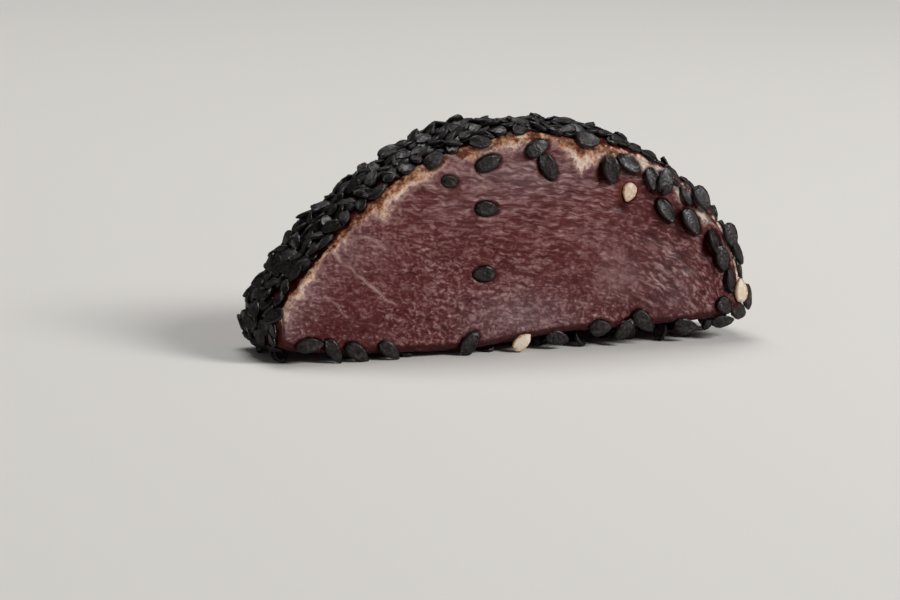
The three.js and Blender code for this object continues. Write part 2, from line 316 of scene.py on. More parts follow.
def grain_slopes(x, z):
    """Slopes along x and z of every product of powers of x and z up to GRAIN_DEGREE, and the
    products themselves."""
    degrees = range(GRAIN_DEGREE + 1)
    powers = [(i, j) for i in degrees for j in degrees if 0 < i + j <= GRAIN_DEGREE]
    x, z = x / GRAIN_SPAN, z / GRAIN_SPAN
    along_x = [i * x ** max(i - 1, 0) * z**j for i, j in powers]
    along_z = [j * x**i * z ** max(j - 1, 0) for i, j in powers]
    products = [x**i * z**j for i, j in powers]
    return (np.stack(parts, -1) for parts in (along_x, along_z, products))


def grain_place(x, z):
    """Coordinates along the fibres and across them, in millimetres.

    Each is a polynomial of x and z. At the guides, the first rises by one along the fibres and
    the second by one across them, and the other way not at all, as nearly as least squares
    allow. The slopes along the fibres weigh more, so that the second keeps to their lines."""
    guides = np.array(FIBRE_GUIDES)
    turn = np.radians(guides[:, 2:])
    along_x, along_z, _ = grain_slopes(guides[:, 0], guides[:, 1])
    with_fibres = np.cos(turn) * along_x - np.sin(turn) * along_z
    over_fibres = np.sin(turn) * along_x + np.cos(turn) * along_z
    slopes = np.concatenate((GRAIN_HOLD * with_fibres, over_fibres))
    wanted = GRAIN_SPAN * np.repeat(np.diag((GRAIN_HOLD, 1)), len(guides), 0)
    ease = GRAIN_EASE * np.eye(slopes.shape[1])
    factors = np.linalg.solve(slopes.T @ slopes + ease, slopes.T @ wanted)
    *_, products = grain_slopes(x, z)
    return (products @ factors).T


# Seeds that lie on the shown face or over its edge. Each row is x and z on the face, the turn
# of the long axis in degrees, how many degrees it leans out over the rim, how far it lies
# behind the face and how deep it is pressed in, and its length and width.
BLACK_STRAYS = [
    (-2.2, 16.3, -7, 0, 0, 0.15, 2.8, 1.8), (-2.8, 9, 178, 0, 0, 0.3, 2.9, 1.8),
    (-6.6, 19.5, -9, 0, 0, 0.45, 2.2, 1.5), (-1.8, 21.4, 17, 0, 0, 0.15, 3.3, 1.9),
    (-8.4, 21.9, 32, 35, 0.35, 0.1, 2.8, 1.8), (-2.6, 23.7, -4, 35, 0.35, 0.1, 2.8, 1.8),
    (4.3, 22.9, 26, 10, 0, 0.12, 3.2, 1.9), (5.6, 20.7, -62, 0, 0, 0.18, 3.4, 2),
    (10.8, 23.6, -12, 25, 0.3, 0.1, 3.3, 2.1), (13.4, 20.1, -80, 0, 0, -0.1, 3.3, 2.2),
    (15.8, 20.7, -37, 15, 0.1, -0.1, 3.4, 1.9), (18.7, 18.8, -75, 10, 0, 0, 2.9, 1.9),
    (20.3, 18.6, 72, 10, 0.1, -0.25, 3.3, 2.3), (20.4, 15.2, -55, 10, 0, 0.15, 3.4, 1.8),
    (23.6, 13.8, -60, 15, 0.1, 0, 3.6, 2), (26.5, 11.3, -83, 40, 0.1, 0, 3.1, 1.9),
    (27.5, 9.4, -81, 12, 0.2, -0.1, 3.2, 2), (28.5, 6.8, -90, 35, 0.2, 0, 2.9, 1.8),
    (27.6, 3.9, -49, 10, 0, 0.15, 2.3, 2), (21.8, 18.9, -60, 40, 0.9, 0.1, 3, 2),
    (23.3, 17, -81, 25, 0.4, 0.1, 3, 2), (25.2, 16.4, -66, 25, 0.6, -0.25, 3.3, 2.5),
    (26.6, 14.6, -40, 40, 0.9, 0.2, 2.8, 1.8), (28.9, 11.9, -78, 22, 0.6, -0.1, 3.2, 2.3),
    (29.9, 9.9, -62, 45, 0.8, 0, 3.3, 2), (30.2, 7.9, -50, 55, 1.2, 0, 3, 1.8),
    (31.05, 4.7, -80, 30, 0.75, 0.25, 3.2, 1.9), (29.8, 3.1, -20, 20, 0.7, 0.1, 2.5, 2.1),
    (-24.2, 2.1, 2, 0, 0, 0, 3.3, 1.7), (-21.4, 1.2, -59, 0, -0.05, 0.1, 3.2, 1.6),
    (-18.6, 1, -36, 0, -0.05, 0.1, 3.3, 1.8), (-14.7, 0.9, -41, 0, -0.05, 0.1, 3, 1.7),
    (-4.9, 1.3, 50, 0, 0, 0, 3.2, 2), (6.2, 1.3, -12, 0, 0.2, 0.3, 3, 1.8),
    (11.5, 2.2, 2, 0, 0, 0.1, 2.8, 1.9), (14.6, 1.9, 45, 0, 0, 0.1, 3.1, 1.8),
    (17, 2.7, -44, 0, 0, 0.05, 3.4, 1.9), (22.6, 1.8, -10, 0, 0.1, 0.2, 3.2, 1.9),
    (27.5, 2.1, 6, 0, 0.25, 0.2, 3.1, 1.5),
]
WHITE_STRAYS = [
    (1.6, 1.1, 36, 0, 0, 0, 2.7, 1.7), (15.8, 17.5, 250, 0, 0.1, 0.22, 2.35, 1.75),
    (29.9, 5.6, 88, 12, 0, 0.22, 2.9, 1.8),
]

# Hollows pressed into the shown face, darker in colour, partly with juice and partly as
# painted shade, as x, z, reach along x, reach up, and how deep.
HOLLOWS = [
    (14.9, 16, 0.85, 0.6, 0.22), (12.1, 19.6, 0.45, 1.3, 0.25), (22.3, 12.9, 0.7, 1, 0.15),
    (25.6, 11, 0.6, 1.5, 0.3), (19.2, 15.6, 0.5, 0.9, 0.12), (21.9, 14.9, 0.45, 1.3, 0.2),
    (26.3, 8.6, 0.5, 1.2, 0.15), (-24.8, 0.9, 2.6, 0.8, 0.1), (4.6, 20.2, 0.4, 1.1, 0.12),
    (15.2, 3.2, 0.6, 0.9, 0.1),
]

# Brown juice stains beside seeds, as x, z, reach along x, reach up and strength.
STAINS = [
    (-5.7, 18.4, 0.9, 0.9, 0.5), (-2.4, 10.4, 1.1, 0.5, 0.5), (14.75, 17.5, 0.42, 1, 1.4),
    (17, 17.7, 0.25, 0.7, 0.9), (14.9, 16.3, 0.5, 0.5, 0.8), (25.5, 12.9, 0.5, 0.9, 0.6),
    (-12, 1.5, 1.5, 0.5, 0.3),
]

# Pale lines of connective tissue across the shown face, each by its ends and middle.
SINEWS = [
    ((-21.1, 12.2), (-17.1, 8.7), (-14, 6.2)), ((-17.6, 13.9), (-16, 13.3), (-14.6, 12.2)),
    ((-22.3, 7.3), (-20.8, 6.4), (-19.6, 5)), ((18.3, 8.2), (19, 7.2), (20, 6.4)),
]

# Dark folds in the shown face, in the same way: cut in a little, and darker in colour as
# painted shade.
FOLDS = [
    ((16.6, 9.6), (17.8, 8.1), (19.4, 4.4)), ((19.6, 10.4), (20.6, 8.6), (22.6, 6.4)),
    ((-11.5, 4.6), (-9.8, 4.3), (-8, 3.2)), ((4, 20.9), (8.5, 19.9), (12, 18.9)),
    ((0.6, 19.4), (4.5, 18.3), (10.4, 17.6)),
]

# How sinews and folds are drawn, in millimetres, and how dark a fold is, as painted shade.
LINE_POINTS = 13
LINE_WAVER = 0.35
LINE_WAVER_SIZE = 1.3
SINEW_WIDTH = 0.12
SINEW_RISE = 0.015
FOLD_WIDTH = 0.18
FOLD_DEPTH = 0.045
FOLD_SHADE = 1.8

# The print of a seed in the face, and the lip round it, at a share of the seed's reach.
PRINT_DEPTH = 0.25
LIP_HEIGHT = 0.07
LIP_PLACE = 1.3
LIP_WIDTH = 0.25

# Shares of a seed's reach between which its print ends, the fibres come back and the dark
# ring round it ends, and how dark prints and hollows are. The dark is partly the juice's
# wetness and partly painted shade where seeds and flesh meet.
PRINT_SPAN = (0.7, 1.2)
CALM_SPAN = (0.9, 1.4)
WET_SHADE_SPAN = (1.0, 1.3)
PRINT_WET_SHADE = 0.7
HOLLOW_WET_SHADE = 5

# Where the crumbs of the seared rim end, and how far in its brown reaches.
CRUMB_SPAN = (-0.1, 0.4)
BROWN_SPAN = (0.5, 1.5)

# The far face: the width of its rim, how far its fibres are drawn out, and its deeper red.
BACK_RIM = 1.2
BACK_DRAWN = 0.5
BACK_DEEP = 0.2

# How strongly the fibres and the bumps of the skin set the tone that the material reads.
# The material paints high tone lighter, partly a painted sheen on the crests, and low tone
# darker, partly painted shade in the valleys.
FIBRE_TONE = 0.3
BUMP_TONE = 3

# The skin: how close its grain runs along the outline and inwards, how far it lies behind the
# rim, how much farther on the underside, and how far its rounded side is from the foot.
SKIN_GRAIN = (1.8, 0.7)
SKIN_BEHIND = 1.2
UNDERSIDE_BEHIND = 1.5
FAR_FROM_FOOT = 9.0

# Zones of the shown face made paler and greyer by a painted sheen of a moist film, and
# where it is a deeper red, as x, z, reach along x, reach up and strength.
SHEEN_SPOTS = [
    (14.3, 8, 2.6, 3, 0.8), (2.5, 20, 9, 2.4, 1.2), (1.5, 4, 7, 2.8, 1.3),
    (-6, 16.5, 4.5, 2.5, 0.25), (-27.8, 4.2, 2.4, 3.6, 1.2), (-24, 8, 2.6, 2.8, 0.7),
    (-19, 12.6, 4, 2.2, 0.6), (11.5, 12.6, 2.5, 1.6, 0.25), (21.5, 5.5, 3.6, 3, 0.7),
    (20, 10, 4, 3, 0.4),
]
DEEP_SPOTS = [
    (19.5, 14, 4, 3, 0.55), (22.5, 9.5, 3, 3.5, 0.35), (-19, 4, 6, 2.6, 0.6), (-22.5, 4, 3, 2, 0.4),
    (-13, 9, 4, 2.5, 0.25), (8, 9.5, 3, 2.5, 0.3), (17.5, 4, 3.4, 2.2, 0.6), (-2, 12, 4, 2, 0.2),
]

# Zones where the fibres are drawn out, in the same order.
DRAWN_SPOTS = [
    (5, 19, 15, 6, 1), (7, 11, 9, 6, 0.5), (18, 6, 7, 5, 0.45), (22, 11, 5, 5, 0.45),
    (-18, 8, 8, 6, 0.3), (-10, 17, 7, 4, 0.5), (-1, 5, 9, 4, 0.3),
]

# Zones where the cut face is coarser, or smoother, in the same order.
ROUGH_SPOTS = [
    (21, 9, 5, 6, 0.95), (17, 4, 4, 3, 0.3), (-20, 3.5, 7, 3.5, -0.05), (8, 14, 8, 5, -0.28),
    (4, 20.5, 10, 2.5, 0.05), (1.5, 4, 9, 3, 0.5), (14.3, 8, 2.6, 3, -0.7), (-13, 13, 5, 3, -0.25),
    (-17, 8, 7, 6, -0.3),
]

# Stray seeds on the far face: how many, and the part of it that they are spread over.
BACK_STRAYS = 8
BACK_STRAY_ANGLES = np.radians((-55, 60))
BACK_STRAY_SHARES = (0.15, 0.9)


def face_point(low, high, share, angle):
    """A point between the underside and the top of its column, with the face's slow swell."""
    point = mix(low, high, share)
    hold = 4 * share[..., 0] * (1 - share[..., 0]) * np.cos(angle)
    across = np.sin(2 * np.pi * point[..., 0] / FACE_WAVE + FACE_WAVE_START)
    up = np.sin(2 * np.pi * point[..., 2] / FACE_WAVE_UP)
    point[..., 1] += FACE_SWELL * hold * across * up
    return point


def line(points, ends_and_middle, width):
    """Strength of a line at points of the face, 1 on it and fading out over its width.

    It runs through two ends and a middle, as a quadratic in the step."""
    start, middle, end = (np.array(p) for p in ends_and_middle)
    t = np.linspace(0, 1, LINE_POINTS)[:, None]
    bend = 2 * middle - (start + end) / 2
    path = start * (1 - t) ** 2 + 2 * bend * t * (1 - t) + end * t**2
    return np.exp(-((distance_to(points, path) / width) ** 2))


def stray_reach(x, z, strays):
    """How near points are to the seeds on the face: for the nearest seed, the distance from
    its middle as a share of its half length along it and of its half width across."""
    nearest = np.full(x.shape, np.inf)
    for at_x, at_z, turn, _, _, _, length, width in strays:
        turn = np.radians(turn)
        along = (x - at_x) * np.cos(turn) + (z - at_z) * np.sin(turn)
        across = (z - at_z) * np.cos(turn) - (x - at_x) * np.sin(turn)
        nearest = np.minimum(nearest, np.hypot(along / (length / 2), across / (width / 2)))
    return nearest


def spots(x, z, table):
    """Sum of round spots with soft edges, each by x, z, its two reaches and its strength."""
    total = np.zeros(x.shape)
    for at_x, at_z, reach_x, reach_z, strength in table:
        away = ((x - at_x) / reach_x) ** 2 + ((z - at_z) / reach_z) ** 2
        total += strength * np.exp(-away)
    return total


def fibres(x, z, drawn, fibre_size, fibre_depth, seed):
    """Coordinates along and across the fibres, their tone, and how far they stand out.

    Each layer is noise in those coordinates, short and drawn out, blended by how far the
    fibres are drawn there. Thin furrows run where one more noise is near zero, and darken the
    tone as painted shade."""
    along, across = grain_place(x, z) + WAVER * noise_pair(x, z, WAVER_SIZE, seed + 1)
    tone = 0
    out = fibre_depth * noise_sum(LUMPS, x, z, seed + 20)
    for width, short, longer, tint, relief in FIBRE_LAYERS:
        width = width * fibre_size
        layer = sum(
            share * noise(along / (width * length), across / width, seed + round(100 * width))
            for share, length in ((1 - drawn, short), (drawn, longer))
        )
        layer = layer / np.hypot(1 - drawn, drawn)
        tone = tone + tint * layer
        out = out + fibre_depth * relief * np.sqrt(width) * layer
    spacing = FURROW_SPACING * fibre_size
    furrow = noise(along / (spacing * FURROW_LONGER), across / spacing, seed + 30)
    furrow = np.exp(-((furrow / FURROW_WIDTH) ** 2)) * mix(FURROW_LEAST, 1, drawn)
    furrow *= np.clip(FURROW_SHOWN + noise_sum(FURROW_PATCHES, x, z, seed + 31), 0, 1)
    return along, across, tone - FURROW_SHADE * furrow, out - FURROW_DEPTH * furrow


def cut_face(depth, rows, fibre_size, fibre_depth, seed):
    """Inner points of a cut face, and what its material reads at them.

    Columns run from the underside to the top at even lengths along both. A point is moved out
    of the face by the fibres and by the rim's crumbs, pressed in under seeds and in hollows,
    raised to a low lip round each seed and along sinews, and cut in along folds."""
    is_front = depth == 0
    top, low = (even_angles(is_top, COLUMNS)[1:-1, None] for is_top in (True, False))
    lower = skin_point(low, False, depth, EDGE_ROUND)
    upper = skin_point(top, True, depth, EDGE_ROUND)
    share = (np.arange(1, rows) / rows)[None, :, None]
    points = face_point(lower, upper, share, top).reshape(-1, 3)
    plane = points[:, [0, 2]]
    x, z = plane.T
    to_edge = []
    for is_top in (True, False):
        path = skin_point(even_angles(is_top, COLUMNS // 3), is_top, depth, EDGE_ROUND)
        to_edge.append(distance_to(plane, path[:, [0, 2]]))
    to_rim, to_low = to_edge
    rim_x, rim_width, rim_brown = zip(*RIM)
    rim = to_rim - (np.interp(x, rim_x, rim_width) if is_front else BACK_RIM)

    nought = np.zeros(len(x))
    drawn = np.clip(spots(x, z, DRAWN_SPOTS), 0, 1) if is_front else nought + BACK_DRAWN
    along, across, tone, out = fibres(x, z, drawn, fibre_size, fibre_depth, seed)
    rough = 1 + noise_sum(ROUGH_PATCHES, x, z, seed + 21) + spots(x, z, ROUGH_SPOTS)
    tone = tone * rough
    out = out * rough + noise_sum(CRUMBS, x, z, seed + 32) * (1 - rise(rim, *CRUMB_SPAN))
    marks = {
        "grain": np.stack((along, across, nought), -1),
        "edge": to_rim,
        "rim": rim,
        "brown": np.interp(x, rim_x, rim_brown) * (1 - rise(to_rim, *BROWN_SPAN)),
        "rough": rough,
        "drawn": drawn,
        "under": to_low,
        "sinew": nought,
        "wet": nought,
        "pale": nought,
        "stain": nought,
        "deep": nought + BACK_DEEP,
    }
    if is_front:
        reach = stray_reach(x, z, BLACK_STRAYS + WHITE_STRAYS)
        lip = LIP_HEIGHT * np.exp(-(((reach - LIP_PLACE) / LIP_WIDTH) ** 2))
        hollow = spots(x, z, HOLLOWS)
        out = out * rise(reach, *CALM_SPAN) + lip - hollow
        out = out - PRINT_DEPTH * (1 - rise(reach, *PRINT_SPAN))
        broken = np.clip(0.5 + noise_sum(BREAKS, x, z, seed + 34), 0, 1)
        course = plane + LINE_WAVER * noise_pair(x, z, LINE_WAVER_SIZE, seed + 35).T
        sinew = [line(course, ends, SINEW_WIDTH) for ends in SINEWS]
        sinew = np.max(sinew, 0) * np.minimum(broken + 0.5, 1)
        fold = sum(line(course, ends, FOLD_WIDTH) for ends in FOLDS) * broken
        out = out + SINEW_RISE * sinew - FOLD_DEPTH * fold
        tone = tone - FOLD_SHADE * fold
        # Darker round the seeds and in the hollows: partly the juice's wetness, partly painted
        # shade.
        wet = PRINT_WET_SHADE * (1 - rise(reach, *WET_SHADE_SPAN)) + HOLLOW_WET_SHADE * hollow
        marks |= {"sinew": sinew, "wet": np.minimum(wet, 1)}
        for name, table in (("pale", SHEEN_SPOTS), ("stain", STAINS), ("deep", DEEP_SPOTS)):
            marks[name] = spots(x, z, table)
    marks["fibre"] = 0.5 + FIBRE_TONE * tone
    lean = FRONT_LEAN if is_front else BACK_LEAN
    outwards = np.array([0, -np.cos(lean), np.sin(lean)]) * (1 if is_front else -1)
    hold = rise(np.minimum(to_rim, to_low), 0, FACE_HOLD)
    points += (hold * out)[:, None] * outwards
    return points, marks


def skin(seed):
    """Points of the skin, row by row from the front edge to the back one.

    Each row runs round the whole outline. The edges are rounded by a quarter circle, and
    between them the seared skin has low bumps of two sizes."""
    top = even_angles(True, COLUMNS)
    low = even_angles(False, COLUMNS)[-2:0:-1]
    angle = np.concatenate((top, low))
    is_top = np.arange(len(angle)) < len(top)
    round_turn = np.linspace(0, np.pi / 2, ROUND_ROWS, endpoint=False)
    near = EDGE_ROUND * (1 - np.cos(round_turn))
    middle = np.linspace(EDGE_ROUND, THICKNESS - EDGE_ROUND, SKIN_ROWS + 1)
    depth = np.concatenate((near, middle, THICKNESS - near[::-1]))[:, None]
    from_edge = np.minimum(depth, THICKNESS - depth)
    short = np.maximum(EDGE_ROUND - from_edge, 0)
    inset = EDGE_ROUND - np.sqrt(np.maximum(EDGE_ROUND**2 - short**2, 0))
    points = skin_point(angle[None], is_top[None], depth / THICKNESS, inset)
    tangent = np.roll(points, -1, 1) - np.roll(points, 1, 1)
    outwards = unit(np.stack((-tangent[..., 2], 0 * tangent[..., 1], tangent[..., 0]), -1))
    length = np.cumsum(np.hypot(tangent[..., 0], tangent[..., 2]) / 2, 1)
    bumps = noise_sum(SKIN_BUMPS, length, depth, seed)
    points += (bumps * rise(from_edge, 0, SKIN_HOLD))[..., None] * outwards
    nought = 0 * length
    grain = (SKIN_GRAIN[0] * length, SKIN_GRAIN[1] * depth + nought, nought)
    marks = dict.fromkeys(("drawn", "sinew", "wet", "pale", "stain", "deep"), nought) | {
        "grain": np.stack(grain, -1),
        "edge": nought - from_edge - UNDERSIDE_BEHIND * ~is_top,
        "rim": nought - from_edge - SKIN_BEHIND,
        "brown": np.interp(points[..., 0], *np.array(RIM).T[[0, 2]]),
        "rough": nought + 1,
        "under": nought + FAR_FROM_FOOT * is_top,
        "fibre": np.clip(0.5 + BUMP_TONE * bumps, 0, 1),
    }
    return points, marks


def ring_quads(index):
    """Faces between rows of point numbers, where each row is a closed ring."""
    after = np.roll(index, -1, 1)
    return np.stack((index[:-1], after[:-1], after[1:], index[1:]), -1).reshape(-1, 4)


def flesh_surface(fibre_size, fibre_depth):
    """The whole closed flesh: points, four- and three-sided faces, and what the material reads.

    The skin's first and last rows are also the edges of the two cut faces."""
    skin_points, skin_marks = skin(seed=71)
    front_points, front_marks = cut_face(0, FRONT_ROWS, fibre_size, fibre_depth, seed=11)
    back_points, back_marks = cut_face(1, BACK_ROWS, fibre_size, fibre_depth, seed=31)
    points = np.concatenate((skin_points.reshape(-1, 3), front_points, back_points))
    marks = {}
    for name in skin_marks:
        on_skin = skin_marks[name]
        on_skin = on_skin.reshape(-1, *on_skin.shape[2:])
        marks[name] = np.concatenate((on_skin, front_marks[name], back_marks[name]))

    rows, around = skin_points.shape[:2]
    index = np.arange(rows * around).reshape(rows, around)
    quads = [ring_quads(index)]
    triangles = []
    first = rows * around
    for edge, inner_rows, way in ((index[0], FRONT_ROWS, 1), (index[-1], BACK_ROWS, -1)):
        inner = (COLUMNS - 1) * (inner_rows - 1)
        grid = np.empty((COLUMNS - 1, inner_rows + 1), int)
        grid[:, 0] = edge[: COLUMNS : -1]
        grid[:, -1] = edge[1:COLUMNS]
        grid[:, 1:-1] = np.arange(first, first + inner).reshape(COLUMNS - 1, inner_rows - 1)
        first += inner
        cells = (grid[:-1, :-1], grid[1:, :-1], grid[1:, 1:], grid[:-1, 1:])
        quads.append(np.stack(cells, -1).reshape(-1, 4)[:, ::way])
        left = np.stack((np.full(inner_rows, edge[0]), grid[0, :-1], grid[0, 1:]), -1)
        right = np.stack((np.full(inner_rows, edge[COLUMNS]), grid[-1, 1:], grid[-1, :-1]), -1)
        triangles += [left[:, ::way], right[:, ::way]]
    return points, np.concatenate(quads), np.concatenate(triangles), marks


# Steps of the even spread: each is irrational against the others, so no two places meet.
SPREAD_U = 0.7548776662466927
SPREAD_V = 0.5698402909980532
SPREAD_TURN = 0.6180339887498949
SPREAD_SIZE = 0.4142135623730951
SPREAD_TILT = 0.7320508075688772
SPREAD_KEEP = 0.2360679774997898
SPREAD_ROLL = 0.8392867552141612

# Rows of crust seeds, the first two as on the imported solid: millimetres from seed to seed,
# how many rows, the number of the first seed, how far rows are shifted as a share of a step,
# and the margin at both edges, where it isn't the usual.
TOP_CRUST = {"step": 2.6, "rows": 5, "first": 1, "shift": 0.25}
UNDERSIDE_CRUST = {"step": 4.6, "rows": 4, "first": 1, "shift": 0.25}
SECOND_CRUST = {"step": 2.2, "rows": 6, "first": 1001, "shift": 0.5, "margin": 1.1}
TIP_CRUST = {"step": 1.5, "rows": 6, "first": 2001, "shift": 0.3}
CRUST_MARGIN = 0.45

# The share of the outline left free at its ends, how far a seed strays as a share of the
# spacing, and how plump and how far turned it is.
ENDS_LEFT = 0.002
PLACE_STRAY = 0.7
CRUST_PLUMP = 1.15
TURN_MOST = np.radians(75)

# Between which x the crust thins out, what is left of both helpings there, and the size of
# the second one's seeds.
THIN_SPAN = (6, 20)
RIGHT_SHARE = 0.75
SECOND_LEAST = 0.25
SECOND_SIZE = 0.88

# Seeds of the ends lie where the skin faces down no more than this, and no lower than this.
TIP_TURNED = -0.9
TIP_LOWEST = 0.9

# How deep a seed is pressed in, how it lies on the underside, how far its middle stands off a
# cut face, how much seeds differ, how far they tip and roll, and the few that stand on edge.
SEED_BITE = 0.45
SEED_FLAT = 0.05
SEED_REST = 0.22
STRAY_PROUD = 0.72
SEED_SIZE_SPREAD = 0.14
SEED_SLIM_SPREAD = 0.1
SEED_TILT_MOST = np.radians(12)
SEED_ROLL_MOST = np.radians(22)
SEED_ROLL_STOOD = np.radians(68)
STOOD_SHARE = 0.07

# How seeds come down on others, as shares of their own sizes, and the steepest lean.
OVERLAP_REACH = 0.92
STACK_REACH = 0.8
STACK_LIFT = 0.5
LEAN_ARM = 0.45
LEAN_MOST = np.radians(15)
REST_SHARE = 0.8

# Crust seeds stay that far from the seeds of the shown face, from middle to middle.
CLEAR_LEAST = 1.5

# A seed's rings, its section, as half width and half thickness from the edge to the middle
# of one flat side, how far a point strays by chance, and the powers of its ends. The dip
# inside the edge leaves the raised border of a sesame hull.
SEED_RINGS = 6
SEED_SECTION = [(1.0, 0.0), (0.87, 0.62), (0.64, 0.48), (0.0, 0.7)]
SEED_LUMPS = 0.03
ROUND_END_POWER = 0.5
SHARP_END_POWER = 0.72
THICKNESS_POWER = 0.7


def fraction(k, step):
    """Numbers from 0 to 1, evenly spread over the whole numbers k."""
    return (0.5 + k * step) % 1


def swing(k, step):
    """The same from -1 to 1."""
    return 2 * fraction(k, step) - 1


def rotate(vectors, axis, angle):
    """Vectors turned about unit axes by Rodrigues' formula."""
    cos = np.cos(angle)[..., None]
    sin = np.sin(angle)[..., None]
    along = np.sum(vectors * axis, -1, keepdims=True)
    return vectors * cos + np.cross(axis, vectors) * sin + axis * along * (1 - cos)


class Seeds:
    """Many seeds as arrays: middle, long axis, way out of the skin, and the three sizes."""

    def __init__(self, middle, along, normal, turn, size):
        """along is any direction on the surface; the long axis lies turned from it. What is
        the same for all seeds may be given once."""
        self.middle = middle
        self.normal = np.broadcast_to(normal, middle.shape)
        self.size = np.broadcast_to(size, middle.shape)
        x = unit(along - np.sum(along * self.normal, -1, keepdims=True) * self.normal)
        self.x = rotate(x, self.normal, turn)

    def lean(self, axis, angle):
        """Leans each seed about an axis of its own."""
        self.x = rotate(self.x, axis, angle)
        self.normal = rotate(self.normal, axis, angle)

    def tip(self, angle):
        """Tips each seed up at the sharp end, about its short axis."""
        self.lean(unit(np.cross(self.normal, self.x)), angle)

    def keep(self, chosen):
        """Keeps the chosen seeds only."""
        for name, values in list(vars(self).items()):
            setattr(self, name, values[chosen])

    @staticmethod
    def together(*groups):
        """Joins groups of seeds."""
        made = Seeds.__new__(Seeds)
        for name in vars(groups[0]):
            setattr(made, name, np.concatenate([getattr(group, name) for group in groups]))
        return made


def crust_places(is_top, step, rows, first, shift, margin=CRUST_MARGIN):
    """Places in staggered rows along the skin, each a little off its own: its number k, the
    length along the outline, the angle, and the depth in millimetres."""
    angle, length = angles_by_length(is_top)
    count = round(length[-1] / step)
    row, column = (a.ravel() for a in np.mgrid[:rows, :count])
    k = first + row * count + column
    place = column + shift + 0.5 * (row % 2) + PLACE_STRAY * (fraction(k, SPREAD_U) - 0.5)
    at = np.clip(place / count, ENDS_LEFT, 1 - ENDS_LEFT) * length[-1]
    deep = (row + 0.5 + PLACE_STRAY * (fraction(k, SPREAD_V) - 0.5)) / rows
    depth = mix(margin, THICKNESS - margin, deep)
    return k, at, np.interp(at, length, angle), depth


def seed_sizes(k, size):
    """Sizes a little over and under that one, some slimmer and some broader."""
    grown = 1 + SEED_SIZE_SPREAD * swing(k, SPREAD_SIZE)
    slim = 1 + SEED_SLIM_SPREAD * swing(k, SPREAD_TILT)
    return size * np.stack((grown, grown * slim, grown), -1)


def radius_towards(size, turn, heading):
    """Reach of a lying seed's outline, an ellipse, in a heading on the surface."""
    a, b = size[..., 0] / 2, size[..., 1] / 2
    off = heading - turn
    return a * b / np.sqrt((b * np.cos(off)) ** 2 + (a * np.sin(off)) ** 2)


def settle(at, depth, turn, size):
    """Lets seeds come down one after another on the flat of the skin.

    A seed that overlaps earlier ones rests on the highest of them: it is raised by a part of
    that height, and leans down away from it. Gives each seed's height, lean and heading."""
    place = np.stack((at, depth), -1)
    height, lean, heading = np.zeros((3, len(at)))
    for i in range(1, len(at)):
        apart = place[i] - place[:i]
        distance = np.hypot(apart[:, 0], apart[:, 1])
        direction = np.arctan2(apart[:, 1], apart[:, 0])
        reach = radius_towards(size[i], turn[i], direction)
        reach = reach + radius_towards(size[:i], turn[:i], direction)
        overlap = np.clip(1 - distance / (OVERLAP_REACH * reach), 0, 1)
        under = (height[:i] + STACK_REACH * size[:i, 2]) * np.sqrt(overlap)
        under[overlap == 0] = 0
        highest = int(np.argmax(under))
        height[i] = STACK_LIFT * under[highest]
        lean[i] = min(np.arctan2(under[highest], LEAN_ARM * size[i, 0]), LEAN_MOST)
        heading[i] = direction[highest]
    return height, lean, heading


def reach_along(seeds, direction):
    """Half the extent of each seed in a direction of its own, as of an ellipsoid."""
    y = np.cross(seeds.normal, seeds.x)
    shares = [np.sum(axis * direction, -1) for axis in (seeds.x, y, seeds.normal)]
    return np.sqrt(np.sum((np.stack(shares, -1) * seeds.size / 2) ** 2, -1))


def crust_seeds(usual_size, is_top, helpings):
    """Seeds of the crust on one side of the outline, from places and the share kept of each.

    Each lies more or less along the outline, leans away from those it rests on, is tipped and
    rolled by a little, or now and then stands on its edge, and is then set down as low as its
    own reach allows."""
    kept = []
    for places, share in helpings:
        chosen = fraction(places[0], SPREAD_KEEP) < share
        kept.append([values[chosen] for values in places])
    k, at, angle, depth = (np.concatenate(parts) for parts in zip(*kept))
    size = seed_sizes(k, usual_size * (1, 1, CRUST_PLUMP))
    size = size * np.where(k < SECOND_CRUST["first"], 1, SECOND_SIZE)[:, None]
    turn = TURN_MOST * swing(k, SPREAD_TURN) + np.pi * (k % 2)
    height, lean, heading = settle(at, depth, turn, size)
    point, normal, along = skin_frame(angle, is_top, depth / THICKNESS)
    seeds = Seeds(point, along, normal, turn, size)
    across = np.cross(normal, along)
    away = np.cos(heading)[:, None] * along + np.sin(heading)[:, None] * across
    seeds.lean(unit(np.cross(normal, away)), lean)
    seeds.tip(SEED_TILT_MOST * swing(k, SPREAD_TILT))
    stood = (fraction(k, SPREAD_ROLL) < STOOD_SHARE) & (height == 0)
    roll = np.where(stood, SEED_ROLL_STOOD, SEED_ROLL_MOST * swing(k, SPREAD_ROLL))
    seeds.lean(seeds.x, roll)
    rest = reach_along(seeds, normal) * REST_SHARE - SEED_BITE / 2 + height
    seeds.middle = point + normal * rest[:, None]
    return seeds


def top_seeds(usual_size):
    """Seeds of the rounded side, in two helpings, thinner down the right."""
    helpings = []
    for rows, least in ((TOP_CRUST, RIGHT_SHARE), (SECOND_CRUST, SECOND_LEAST)):
        places = crust_places(True, **rows)
        helpings.append((places, mix(1, least, rise(outline_x(places[2]), *THIN_SPAN))))
    return crust_seeds(usual_size, True, helpings)


def tip_seeds(usual_size):
    """Seeds of the blunt ends, where the underside turns up to meet the rounded side."""
    places = crust_places(False, **TIP_CRUST)
    point, normal, _ = skin_frame(places[2], False, places[3] / THICKNESS)
    share = (normal[:, 2] > TIP_TURNED) & (point[:, 2] > TIP_LOWEST)
    return crust_seeds(usual_size, False, [(places, share)])


